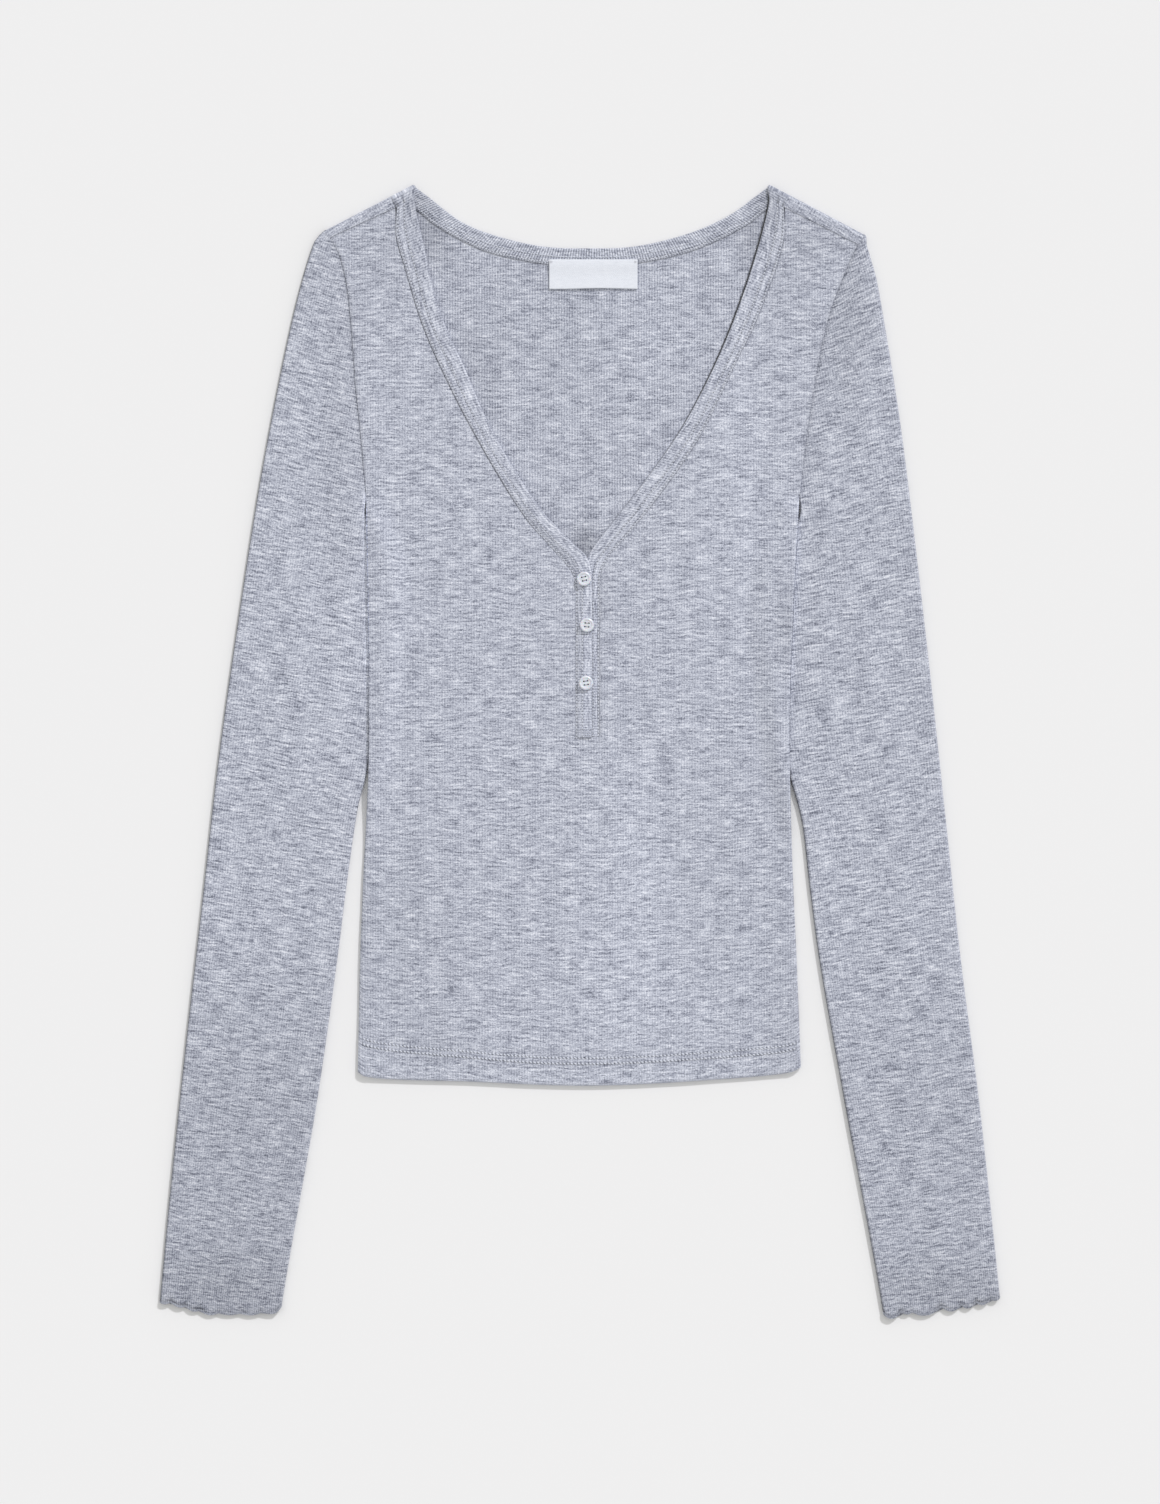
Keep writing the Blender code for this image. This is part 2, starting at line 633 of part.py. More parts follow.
def wrap_column(side, fold, down):
    """Points of one column over the shoulder fold, from the seam on the front."""
    places = [(*below_fold(side, fold, down - SEAM_GAP / 2), FOLD_HEIGHT)]
    for step in range(WRAP_STEPS):
        angle = math.pi * (1 - step / WRAP_STEPS)
        out = FOLD_RADIUS * (1 - math.sin(angle))
        places.append((*below_fold(side, fold, out), FOLD_RADIUS * (1 - math.cos(angle))))
    return places


def make_back(collection):
    """A flat sheet whose shoulders go over the fold to the seam on the front."""
    top = back_top()
    columns = len(top)
    flat_top = top[ROLL_STEPS:-ROLL_STEPS]
    shoulder = ROLL_STEPS + SHOULDER_COLUMNS
    points = {}
    for side in SIDES:
        places = shoulder_places(side)
        for step, fold in enumerate(places):
            share = math.dist(fold, places[0]) / math.dist(places[-1], places[0])
            down = SEAM_AT_ARM[side] + (SEAM_AT_NECK[side] - SEAM_AT_ARM[side]) * share
            column = step if side == "right" else columns - 1 - step
            for row, place in enumerate(wrap_column(side, fold, down)):
                points[row, column] = place
    first_row = WRAP_STEPS + 1
    for column, place in enumerate(top):
        points[first_row, column] = (*place, 0.0)
    edges = zip(back_edges("right"), back_edges("left"))
    for row, (right, left) in enumerate(edges, first_row + 1):
        for column, (place, drop) in enumerate(back_row(right, left, flat_top)):
            points[row, column] = (*place, lift(*place) + drop)
    faces = grid_faces(row + 1, columns, lambda row, column: row >= first_row or not (
        shoulder <= column < columns - 1 - shoulder))
    cloth_wall("back", points, flipped(faces), collection)


# ---- Sleeves: a flattened tube, open at the armhole and at the cuff ----

QUARTER_ROLL = FOLD_RADIUS * math.pi / 2


def sleeve_rows(side):
    """(inner point, outer point, closed) of each row above the cuff, from the shoulder down."""
    seam, outer = ARMHOLE[side], OUTER[side]
    top = outer.at(0.0)
    rows = [(below_fold(side, top, ARMHOLE_START), top, False)]
    underarm_outer = outer.distance_at_height(UNDERARM[side][1] + ROW_TILT)
    for distance in (ARMHOLE_SECOND,) + ARMHOLE_ROWS + (seam.length,):
        share = (distance - ARMHOLE_SECOND) / (seam.length - ARMHOLE_SECOND)
        inner_point = seam.beside(distance, -INWARDS[side] * SEAM_GAP / 2)
        outer_point = outer.at(SLEEVE_CORNER + share * (underarm_outer - SLEEVE_CORNER))
        rows.append((inner_point, outer_point, False))
    cuff_inner, cuff_outer = INNER[side].points[-1][1], outer.points[-1][1]
    for height in SLEEVE_ROWS:
        tilt = ROW_TILT * between(height, cuff_inner, cuff_inner + TILT_FADES)
        rows.append((INNER[side].at_height(height), outer.at_height(height + tilt), True))
    rows.append((INNER[side].at_height(cuff_inner + CUFF_LENGTH),
                 outer.at_height(cuff_outer + CUFF_LENGTH), True))
    return rows


def sleeve_height(side, place, from_fold, below_shoulder):
    """The height of the sleeve's upper face."""
    beside, below = ease(from_fold / PUFF), ease(below_shoulder / SHOULDER_PUFF)
    height = FOLD_HEIGHT - (FOLD_HEIGHT - LAID_HEIGHT) * min(beside, below)
    return height + fold_relief(*place, SLEEVE_FOLDS[side]) * beside * below


def sleeve_ring(side, inner, outer, closed, below_shoulder, parts=1):
    """Points round one row by name: over the outer fold, along each layer, round the inner edge."""
    width = math.dist(outer, inner)
    inwards = unit(outer, inner)
    ring = {}
    for step in (1, 2, 3):
        angle = math.pi * step / 4
        place = moved(outer, inwards, FOLD_RADIUS * (1 - math.sin(angle)))
        ring["outer", step] = (*place, FOLD_RADIUS * (1 + math.cos(angle)))
    inner_reach = FOLD_RADIUS if closed else QUARTER_ROLL
    flat = width - FOLD_RADIUS - inner_reach
    count = (len(SLEEVE_SHARES) - 1) * parts
    knots = np.arange(len(SLEEVE_SHARES)) * parts
    for step, share in enumerate(np.interp(range(count + 1), knots, SLEEVE_SHARES)):
        from_outer = FOLD_RADIUS + flat * share
        place = moved(outer, inwards, from_outer)
        from_fold = min(from_outer, width - from_outer) - FOLD_RADIUS
        ring["upper", step] = (*place, sleeve_height(side, place, from_fold, below_shoulder))
        ring["under", step] = (*place, 0.0)
    if closed:
        for name, angle in (("upper", 45), ("edge", 90), ("under", 135)):
            turned = math.radians(angle)
            place = moved(inner, inwards, FOLD_RADIUS * (math.sin(turned) - 1))
            key = (name, "edge") if name != "edge" else ("edge", "edge")
            ring[key] = (*place, FOLD_RADIUS * (1 + math.cos(turned)))
    else:
        for name, height in (("upper", FOLD_HEIGHT), ("under", 0.0)):
            half = moved(inner, inwards, -QUARTER_ROLL / 2)
            ring[name, "edge"] = (*half, height)
            ring[name, "end"] = (*inner, height)
    return ring


def ring_order(closed, parts=1):
    """The names round a ring, from the inner edge over the top and back along the underside."""
    count = (len(SLEEVE_SHARES) - 1) * parts
    upper = [("upper", step) for step in range(count, -1, -1)]
    under = [("under", step) for step in range(count + 1)]
    start = [("edge", "edge")] if closed else [("upper", "end")]
    end = [("edge", "edge")] if closed else [("under", "end")]
    turn = [("outer", 1), ("outer", 2), ("outer", 3)]
    return start + [("upper", "edge")] + upper + turn + under + [("under", "edge")] + end


def cuff_points(side, inner, outer, share):
    """One fine row of the ruffled cuff, a share of the way down to its edge."""
    foot_inner, foot_outer = tuple(INNER[side].points[-1]), tuple(OUTER[side].points[-1])
    ring = sleeve_ring(side, along(inner, foot_inner, share), along(outer, foot_outer, share),
                       True, SHOULDER_PUFF, CUFF_PARTS)
    count = (len(SLEEVE_SHARES) - 1) * CUFF_PARTS
    waved = {}
    for (name, step), (x, y, z) in ring.items():
        across = step / count if name in ("upper", "under") and step != "edge" else None
        if across is None:
            waved[name, step] = (x, y, z)
            continue
        turned = 2 * math.pi * across * WAVE_DRIFT_TURNS + WAVE_DRIFT_START
        drift = WAVE_DRIFT * math.sin(turned)
        crest = (1 - math.cos(2 * math.pi * (WAVES[side] * across + drift))) / 2
        ends = ease(min(across, 1 - across) / WAVE_ENDS)
        bow = float(np.interp(across, *zip(*CUFF_BOW[side])))
        y -= share * (bow + WAVE_REACH[side] * crest * ends)
        z += share ** WAVE_GROWTH * WAVE_RISE[name] * crest * ends
        waved[name, step] = (x, y, z)
    return waved


def ring_faces(row, order, next_row, next_order):
    """Quads between two rings whose names run the same way."""
    return [((row, a), (row, b), (next_row, d), (next_row, c))
            for a, b, c, d in zip(order, order[1:], next_order, next_order[1:])]


def fine_faces(row, order, next_row):
    """Faces between a coarse ring and one whose layers are cut into more parts."""
    faces = []
    for a, b in zip(order, order[1:]):
        if isinstance(a[1], int) and isinstance(b[1], int) and a[0] == b[0] != "outer":
            step = 1 if b[1] > a[1] else -1
            first = a[1] * CUFF_PARTS
            fine = [(a[0], first + step * part) for part in range(CUFF_PARTS + 1)]
            half = CUFF_PARTS // 2
            for part in range(CUFF_PARTS):
                corner = a if part < half + 1 else b
                faces.append(((row, corner), (next_row, fine[part + 1]), (next_row, fine[part])))
            faces.append(((row, a), (row, b), (next_row, fine[half + 1])))
        else:
            c, d = fine_name(a), fine_name(b)
            faces.append(((row, a), (row, b), (next_row, d), (next_row, c)))
    return faces


def fine_name(name):
    return (name[0], name[1] * CUFF_PARTS) if name[0] != "outer" and name[1] != "edge" else name


def make_sleeve(side, collection):
    points, faces = {}, []
    rows = sleeve_rows(side)
    travelled = 0.0
    for row, (inner, outer, closed) in enumerate(rows):
        if row:
            travelled += math.dist(outer, rows[row - 1][1])
        ring = sleeve_ring(side, inner, outer, closed, travelled)
        points.update({(row, name): place for name, place in ring.items()})
        if row:
            faces += ring_faces(row - 1, ring_order(rows[row - 1][2]), row, ring_order(closed))
    inner, outer, _ = rows[-1]
    for step, share in enumerate(CUFF_SHARES, 1):
        below = row + step
        fine = cuff_points(side, inner, outer, share)
        points.update({(below, name): place for name, place in fine.items()})
        if step == 1:
            faces += fine_faces(row, ring_order(True), below)
        else:
            order = ring_order(True, CUFF_PARTS)
            faces += ring_faces(below - 1, order, below, order)
    if side == "left":
        faces = flipped(faces)
    cloth_wall("sleeve_" + side, points, faces, collection)


# ---- Neck binding ----


def strip_section(seam, free, normal, thickness, undersides):
    """A ring round the strip: its inner face, its rounded free edge, its outer face."""
    across = (Vector(free) - Vector(seam)).normalized()
    bulge = thickness * STRIP_BULGE
    end = Vector(free) - across * bulge
    inner, outer = [], []
    for share, under in zip(STRIP_WIDTHS, undersides):
        place = Vector(seam).lerp(end, share) + Vector((0.0, 0.0, under))
        inner.append(place)
        outer.append(place + normal * thickness)
    edge = (inner[-1] + outer[-1]) / 2 + across * bulge
    return inner + [edge] + outer[::-1]


def strip_front_heights(side):
    """Heights of the strip's stations on the front, from the shoulder seam down to the slit."""
    heights = [inner[1] for _, inner, _, _, rise in front_rows(side) if rise is None]
    return [height for height in heights if height >= SLIT_FOOT]


def strip_on_front(side):
    """Sections of the strip on the front, from the shoulder seam down."""
    neck, free = NECK[side], FREE[side]
    start = math.dist(neck.points[0], below_fold(side, STRIP_CORNER[side], STRIP_RADIUS))
    neck_knee = neck.distance_at_height(KNEE)
    free_knee = free.distance_at_height(KNEE)
    sections = []
    for height in strip_front_heights(side):
        distance = neck.distance_at_height(height)
        seam = neck.beside(distance, INWARDS[side] * SEAM_GAP)
        if height > KNEE:
            edge = free.at(free_knee * (start + distance) / (start + neck_knee))
        else:
            edge = (free.at_height(height)[0], seam[1])
        if height == SLIT_FOOT:
            seam, edge = ((x, SLIT_FOOT + SEAM_GAP) for x, _ in (seam, edge))
        thickness = STRIP - (STRIP - STRIP_AT_SLIT) * between(height, *STRIP_THINS)
        unders = [strip_underside(side, height, start + distance, share) for share in STRIP_WIDTHS]
        sections.append(strip_section((*seam, 0.0), (*edge, 0.0), Vector((0.0, 0.0, 1.0)),
                                      thickness, unders))
    return sections


def strip_underside(side, height, distance, share):
    """How high the strip's underside lies on the front."""
    over_fold = 2 * STRIP_RADIUS - STRIP
    under = over_fold + (STRIP_REST - over_fold) * ease(distance / STRIP_SETTLES)
    if side == "right":
        climb = (STRIP_OVER_SLIT - STRIP_REST) * between(height, *STRIP_CLIMBS)
        return under + climb * ease(share / STRIP_RAMP)
    begins, full, fades, ends = EDGE_ROLL_HEIGHTS
    standing = EDGE_ROLL * between(height, begins, full) * between(height, ends, fades)
    return under + standing * share ** 2


def strip_on_fold(side):
    """Sections of the strip over the shoulder fold, from the front to the back."""
    seam = below_fold(side, STRIP_CORNER[side], STRIP_RADIUS)
    free = below_fold(side, NECK_POINT[side], STRIP_RADIUS)
    out = Vector((*fold_normal(side), 0.0))
    up = Vector((0.0, 0.0, 1.0))
    sections = []
    for step in range(STRIP_FOLD_STEPS + 1):
        angle = math.pi * step / STRIP_FOLD_STEPS
        normal = up * math.cos(angle) + out * math.sin(angle)
        offset = up * STRIP_RADIUS + normal * (STRIP_RADIUS - STRIP)
        sections.append(strip_section(Vector((*seam, 0.0)) + offset, Vector((*free, 0.0)) + offset,
                                      normal, STRIP, [0.0] * len(STRIP_WIDTHS)))
    return sections


def strip_on_back():
    """Sections of the strip round the back neck, from the wearer's right to the left."""
    corners = [below_fold(side, NECK_POINT[side], STRIP_RADIUS) for side in SIDES]
    free = Curve((corners[0],) + FREE_BACK + (corners[1],))
    sections = []
    for step in range(1, NECK_COLUMNS):
        share = step / NECK_COLUMNS
        seam = BACK_SEAM.beside(share * BACK_SEAM.length, SEAM_GAP)
        edge = free.at_share(share)
        sections.append(strip_section((*seam, STRIP), (*edge, STRIP), Vector((0.0, 0.0, -1.0)),
                                      STRIP, [0.0] * len(STRIP_WIDTHS)))
    return sections


def make_binding(collection):
    """One strip: up the wearer's right of the slit, round the neck and down the left."""
    sections = strip_on_front("right")[::-1] + strip_on_fold("right") + strip_on_back()
    sections += strip_on_fold("left")[::-1] + strip_on_front("left")
    points = {}
    faces = []
    size = len(sections[0])
    for row, section in enumerate(sections):
        points.update({(row, step): place for step, place in enumerate(section)})
        if row:
            for step in range(size):
                after = (step + 1) % size
                faces.append(((row - 1, step), (row, step), (row, after), (row - 1, after)))
    faces.append(tuple((0, step) for step in range(size)))
    faces.append(tuple((row, step) for step in reversed(range(size))))
    add_object("neck_binding", mesh_of("neck_binding", points, faces), collection, "rib_knit")


# ---- Buttons ----


def turned_button(name, centre, collection):
    """A turned disc with a raised rim, from a profile that runs from its top to its underside."""
    rim = tuple((BUTTON_RADIUS - inset, height) for inset, height in BUTTON_RIM)
    profile = ((0.0, BUTTON_HEIGHT - BUTTON_DISH),) + rim + ((0.0, 0.0),)
    mesh = bpy.data.meshes.new(name)
    edges = [(step, step + 1) for step in range(len(profile) - 1)]
    mesh.from_pydata([(radius * MM, 0.0, z * MM) for radius, z in profile], edges, [])
    button = add_object(name, mesh, collection, "button_plastic")
    button.location = (centre[0] * MM, centre[1] * MM, BUTTON_SEAT * MM)
    turn = button.modifiers.new("turn", "SCREW")
    turn.axis = "Z"
    turn.steps = BUTTON_SIDES
    turn.render_steps = BUTTON_SIDES
    turn.use_merge_vertices = True
    turn.merge_threshold = 0.00001
    return button


def hole_cutter(name, x, y, cutters):
    shape = bmesh.new()
    bmesh.ops.create_cone(shape, cap_ends=True, segments=HOLE_SIDES, radius1=HOLE_RADIUS * MM,
                          radius2=HOLE_RADIUS * MM, depth=2 * BUTTON_HEIGHT * MM)
    mesh = bpy.data.meshes.new(name)
    shape.to_mesh(mesh)
    shape.free()
    hole = add_object(name, mesh, cutters, "button_plastic")
    hole.location = (x * MM, y * MM, (BUTTON_SEAT + BUTTON_HEIGHT / 2) * MM)
    hole.hide_render = True
    hole.display_type = "WIRE"
    return hole


def make_button(number, centre, turn, collection, cutters):
    """A button with four sewing holes."""
    name = "button_%d" % number
    button = turned_button(name, centre, collection)
    for index, corner in enumerate((225, 315, 45, 135), 1):
        angle = math.radians(corner + turn)
        x = centre[0] + HOLE_RING * math.cos(angle)
        y = centre[1] + HOLE_RING * math.sin(angle)
        cut = button.modifiers.new("hole_%d" % index, "BOOLEAN")
        cut.operation = "DIFFERENCE"
        cut.solver = "EXACT"
        cut.object = hole_cutter("%s_hole_%d" % (name, index), x, y, cutters)


# ---- Label ----


def make_label(collection):
    """A bare woven label, sewn over the binding's seam at the inside of the back neck."""
    points = {}
    for row, (share, height) in enumerate(zip(LABEL_ROWS, LABEL_HEIGHTS)):
        for column in range(LABEL_COLUMNS + 1):
            x = LABEL_X[0] + (LABEL_X[1] - LABEL_X[0]) * column / LABEL_COLUMNS
            points[row, column] = (x, LABEL_TOP - LABEL_LENGTH * share, height)
    faces = grid_faces(len(LABEL_ROWS), LABEL_COLUMNS + 1)
    cloth_wall("label", points, faces, collection, "label_weave", LABEL_WALL)


def main():
    for item in list(bpy.data.objects):
        bpy.data.objects.remove(item)
    scene = bpy.context.scene
    shirt = bpy.data.collections.new("henley_shirt")
    cutters = bpy.data.collections.new("button_hole_cutters")
    for group in (shirt, cutters):
        scene.collection.children.link(group)
    make_front(shirt)
    make_back(shirt)
    for side in SIDES:
        make_sleeve(side, shirt)
    make_binding(shirt)
    for number, (centre, turn) in enumerate(zip(BUTTON_CENTRES, BUTTON_TURNS), 1):
        make_button(number, centre, turn, shirt, cutters)
    make_label(shirt)


main()
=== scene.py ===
"""The looks of a long-sleeved henley shirt in heather grey rib knit, laid flat on its back.

X runs to the wearer's left, Y up the body and Z away from the floor. Shapes are worked out in
millimetres. "right" and "left" are the wearer's. The ribs of the knit are real relief: every
panel has four columns of points to a rib, which run straight along it.
"""

import math

import bpy
import numpy as np
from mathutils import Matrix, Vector


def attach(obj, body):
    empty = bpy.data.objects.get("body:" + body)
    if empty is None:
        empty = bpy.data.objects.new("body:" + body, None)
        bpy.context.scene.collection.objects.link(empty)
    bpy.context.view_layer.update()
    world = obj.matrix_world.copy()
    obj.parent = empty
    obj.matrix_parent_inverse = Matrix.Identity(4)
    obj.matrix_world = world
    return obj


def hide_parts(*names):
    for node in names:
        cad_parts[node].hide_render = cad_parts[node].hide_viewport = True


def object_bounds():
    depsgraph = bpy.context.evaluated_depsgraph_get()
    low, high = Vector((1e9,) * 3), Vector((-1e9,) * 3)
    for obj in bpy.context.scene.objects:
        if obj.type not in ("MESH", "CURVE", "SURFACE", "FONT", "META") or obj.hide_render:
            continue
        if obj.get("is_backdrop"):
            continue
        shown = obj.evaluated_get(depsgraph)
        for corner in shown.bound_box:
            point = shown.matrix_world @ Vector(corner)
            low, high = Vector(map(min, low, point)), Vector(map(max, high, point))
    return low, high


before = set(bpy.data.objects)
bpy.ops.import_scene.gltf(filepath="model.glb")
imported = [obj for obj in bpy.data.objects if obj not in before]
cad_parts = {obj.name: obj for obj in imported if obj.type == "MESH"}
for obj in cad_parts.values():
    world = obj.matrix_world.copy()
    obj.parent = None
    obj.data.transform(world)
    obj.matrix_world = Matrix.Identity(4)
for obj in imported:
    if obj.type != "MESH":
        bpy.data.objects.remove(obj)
CAD_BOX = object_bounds()

MM = 0.001
SIDES = ("right", "left")
INWARDS = {"right": 1.0, "left": -1.0}

# ---- How the cloth lies, as in the solids ----

CLOTH = 1.2
SEAM_GAP = 0.3
RADIUS = 1.8
FOLD_HEIGHT = 2 * RADIUS
LAID_HEIGHT = 2.8
PUFF = 24.0
SHOULDER_PUFF = 32.0
LIFT = FOLD_HEIGHT + SEAM_GAP
LIFT_SLOPE = 16.0
LIFT_LEDGE = 1.5
LIFT_TOP = (159.0, 147.0)
LIFT_FOOT = {"right": (-22.0, -62.0), "left": (-34.0, -76.0)}

# ---- Ribs ----

PITCH = 1.65
STEP = PITCH / 4
GROOVE = 0.22
SLEEVE_GROOVE = 0.14
INSIDE_GROOVE = 0.3
SLEEVE_RIBS = 58
SLEEVE_PITCH = 1.55

# ---- Plan of the shirt, as (x, y) points from the top down ----

NECK_POINT = {"right": (-102.3, 352.2), "left": (117.8, 352.2)}
SHOULDER_POINT = {"right": (-157.0, 323.8), "left": (176.4, 321.2)}
UNDERARM = {"right": (-132.1, 161.2), "left": (136.8, 159.0)}
STRIP_CORNER = {"right": (-116.6, 344.8), "left": (130.8, 345.3)}
SEAM_AT_NECK = {"right": 8.0, "left": 8.6}
SEAM_AT_ARM = {"right": 5.6, "left": 7.6}
ARMHOLE_START = 8.0
ARMHOLE_POINTS = {
    "right": ((-150.2, 311.5), (-147.3, 303.8), (-144.2, 290.3), (-141.4, 266.0),
              (-138.3, 224.4), (-135.8, 200.9)),
    "left": ((170.2, 309.5), (167.3, 303.0), (163.1, 293.0), (156.3, 274.5), (151.0, 255.0),
             (147.4, 236.0), (140.7, 193.4)),
}
SIDE_POINTS = {
    "right": ((-130.8, 94.2), (-130.2, 32.2), (-130.8, -17.4), (-133.9, -79.4), (-135.8, -129.0)),
    "left": ((134.5, 119.0), (130.8, 32.2), (130.8, -17.4), (132.7, -79.4), (135.0, -129.0)),
}
HEM = ((-137.2, -198.4), (-132.6, -201.2), (-65.7, -204.6), (6.2, -207.1), (73.8, -204.0),
       (132.0, -198.4), (137.6, -195.6))
HEM_DEPTH = 16.0
HEM_STEP = 0.35
HEM_STEP_WIDTH = 1.2
SLEEVE_OUTER = {
    "right": ((-164.0, 317.0), (-167.4, 307.6), (-174.5, 282.7), (-183.5, 243.0),
              (-197.8, 168.6), (-209.6, 94.2), (-223.8, -5.0), (-233.7, -91.8),
              (-243.7, -178.6), (-253.6, -271.6), (-260.1, -340.6)),
    "left": ((178.4, 314.6), (180.4, 307.6), (184.1, 295.1), (189.1, 267.8), (199.0, 205.8),
             (208.3, 131.4), (218.2, 44.6), (228.8, -54.6), (236.8, -129.0), (248.0, -215.8),
             (256.1, -290.2), (261.0, -337.6)),
}
SLEEVE_INNER = {
    "right": ((-132.2, 147.0), (-121.6, 119.0), (-119.0, 94.2), (-121.5, 57.0), (-126.2, 19.8),
              (-132.6, -17.4), (-136.6, -32.0), (-143.8, -79.4), (-150.0, -129.0),
              (-162.4, -215.8), (-179.8, -315.0), (-184.3, -342.4)),
    "left": ((136.7, 147.0), (123.4, 119.0), (119.7, 94.2), (121.5, 57.0), (125.4, 19.8),
             (129.8, -12.0), (135.2, -31.0), (138.6, -46.0), (143.0, -84.0), (149.0, -129.0),
             (164.4, -215.8), (182.9, -315.0), (188.6, -348.0)),
}
# The sleeve's ribs keep their spacing up to the armhole, beside this line
SLEEVE_REACH = {
    "right": ((-68.0, 330.0), (-74.5, 317.0), (-84.8, 282.7), (-93.5, 243.0), (-107.5, 168.6),
              (-119.0, 94.2)),
    "left": ((80.0, 330.0), (86.5, 307.6), (96.5, 267.8), (107.0, 205.8), (115.5, 131.4),
             (119.7, 94.2)),
}
REACH_HEIGHT = 94.2

SLIT_FOOT = 9.3
KNEE = 103.0
NECK_SEAM = {
    "right": ((-113.5, 321.8), (-107.9, 300.7), (-97.3, 266.0), (-81.8, 230.6), (-60.1, 189.1),
              (-32.2, 143.8), (-20.5, 130.2), (-9.5, 117.9), (-4.4, 111.0), (-2.4, KNEE),
              (-2.2, 94.0), (-2.2, SLIT_FOOT)),
    "left": ((127.1, 321.2), (124.6, 308.1), (109.7, 267.2), (97.3, 241.8), (76.0, 197.6),
             (52.1, 162.4), (31.4, 136.1), (19.5, 122.4), (14.2, 113.0), (12.8, KNEE),
             (12.7, 94.0), (12.7, SLIT_FOOT)),
}
FREE_FRONT = {
    "right": ((-101.7, 341.0), (-97.3, 319.6), (-85.8, 272.2), (-70.1, 236.8), (-54.6, 200.9),
              (-24.2, 151.3), (-11.8, 137.6), (-2.5, 128.3), (4.6, 121.3), (7.6, 113.0),
              (8.1, KNEE), (8.1, 94.0), (8.1, SLIT_FOOT)),
    "left": ((117.8, 343.9), (114.7, 327.4), (103.5, 289.5), (87.4, 247.4), (65.4, 204.0),
             (42.2, 169.9), (21.7, 143.8), (11.8, 130.8), (5.2, 120.6), (3.0, 113.0),
             (2.6, KNEE), (2.6, 94.0), (2.6, SLIT_FOOT)),
}
FREE_BACK = ((-92.4, 343.5), (-83.1, 336.0), (-72.5, 328.6), (-54.6, 321.2), (-22.9, 313.7),
             (5.6, 312.5), (34.7, 313.7), (66.3, 321.2), (84.9, 328.6), (98.0, 336.0),
             (107.9, 343.5))
SEAM_BACK = ((-99.4, 335.2), (-89.6, 327.3), (-58.5, 311.0), (-20.0, 302.8), (5.6, 301.6),
             (32.0, 302.8), (69.8, 310.9), (103.9, 326.8), (114.8, 335.1))

# ---- Binding ----

STRIP = 2.0
STRIP_AT_SLIT = 1.2
STRIP_THINS = (168.0, 131.0)
STRIP_REST = 1.6
STRIP_RADIUS = 2.3
STRIP_SETTLES = 45.0
STRIP_OVER_SLIT = 3.1
STRIP_CLIMBS = (176.0, 131.0)
STRIP_RAMP = 0.4
EDGE_ROLL = 1.1
EDGE_ROLL_HEIGHTS = (345.0, 280.0, 175.0, 137.0)
STRIP_SHARES = np.array((0.0, 0.03, 0.07, 0.11, 0.16, 0.24, 0.32, 0.37, 0.41, 0.45, 0.52, 0.62,
                         0.72, 0.82, 0.9, 0.96))
STITCH_SHARES = (0.085, 0.41)  # where the two rows of stitches lie across the strip
STRIP_GROOVE = 0.2
FOOT_REACH = 0.6
EDGE_SHADE = 0.02
EDGE_THINS = 0.4
EDGE_THINS_HEIGHTS = (150.0, 260.0)
EDGE_SHADE_HEIGHTS = (351.0, 344.0, 155.0, 118.0)
STRIP_SPACING = STEP * 1.333  # between stations along the strip
STRIP_ROUND = 26.0  # the knit's length once round the strip's section
STRIP_UPPER = 3.7  # most of the strip's faces above this height are on its upper side
STRIP_PARTS = (0, 4)  # of the strip's five parts, the two that lie on the front
FRONT_PLACKET = (131.0, 118.0)  # the strip's way into the placket
INSIDE_ROW = 0.16  # where the back neck's inner row of stitches lies across the strip

# ---- Cuffs ----

# How far the edge bows down, as (share of the way from the outer fold, depth)
CUFF_BOW = {
    "right": ((0.0, 0.0), (0.13, 0.8), (0.27, 4.1), (0.41, 6.0), (0.73, 5.7), (0.94, 4.2),
              (1.0, 0.0)),
    "left": ((0.0, 0.0), (0.1, 1.4), (0.3, 2.4), (0.6, 2.0), (0.9, 1.6), (1.0, 0.0)),
}
# Uneven scallops as (share, width, depth)
LOBES = {
    "right": ((0.05, 0.1, 1.4), (0.16, 0.12, 1.8), (0.28, 0.12, 1.6), (0.41, 0.18, 1.9),
              (0.57, 0.22, 1.7), (0.74, 0.22, 1.75), (0.91, 0.22, 1.7)),
    "left": ((0.04, 0.09, 1.5), (0.15, 0.11, 2.0), (0.27, 0.12, 2.3), (0.41, 0.15, 2.7),
             (0.63, 0.24, 3.3), (0.78, 0.09, 1.3), (0.92, 0.15, 2.9)),
}
# The painted shade of the edge's drawn-in crease as (share, width, darkness)
CUFF_CREASE_PAINTED_SHADE = {
    "right": ((0.05, 0.05, 0.14), (0.13, 0.05, 0.3), (0.2, 0.03, 0.24), (0.3, 0.05, 0.32),
              (0.36, 0.03, 0.24), (0.46, 0.04, 0.1), (0.56, 0.02, 0.16), (0.69, 0.03, 0.2),
              (0.8, 0.05, 0.1), (0.95, 0.03, 0.22)),
    "left": ((0.04, 0.03, 0.1), (0.14, 0.04, 0.22), (0.2, 0.05, 0.34), (0.31, 0.03, 0.12),
             (0.45, 0.05, 0.22), (0.52, 0.03, 0.2), (0.68, 0.05, 0.1), (0.84, 0.04, 0.16),
             (0.93, 0.05, 0.26)),
}
CREASE_RISE = 2.1
CREASE_WIDTH = 0.8
CREASE_LEAST = 0.05
LOBE_RISE = 0.22
CUFF_RISES = (0.0, 0.25, 0.7, 1.3, 2.0, 3.0, 4.3, 6.0, 8.0, 10.5, 13.5)
SETTLED_CUFF = 8.0
UNDER_LIP = {"depth": 0.7, "shift": 0.045, "wave": 0.55}  # the lower layer's, beside the upper's
LIPS_CLOSE = {"upper": 0.55, "under": 0.7}  # how far the two layers come together at the edge

# ---- Soft folds as (x, y, half length, half width, lean in degrees, height) ----

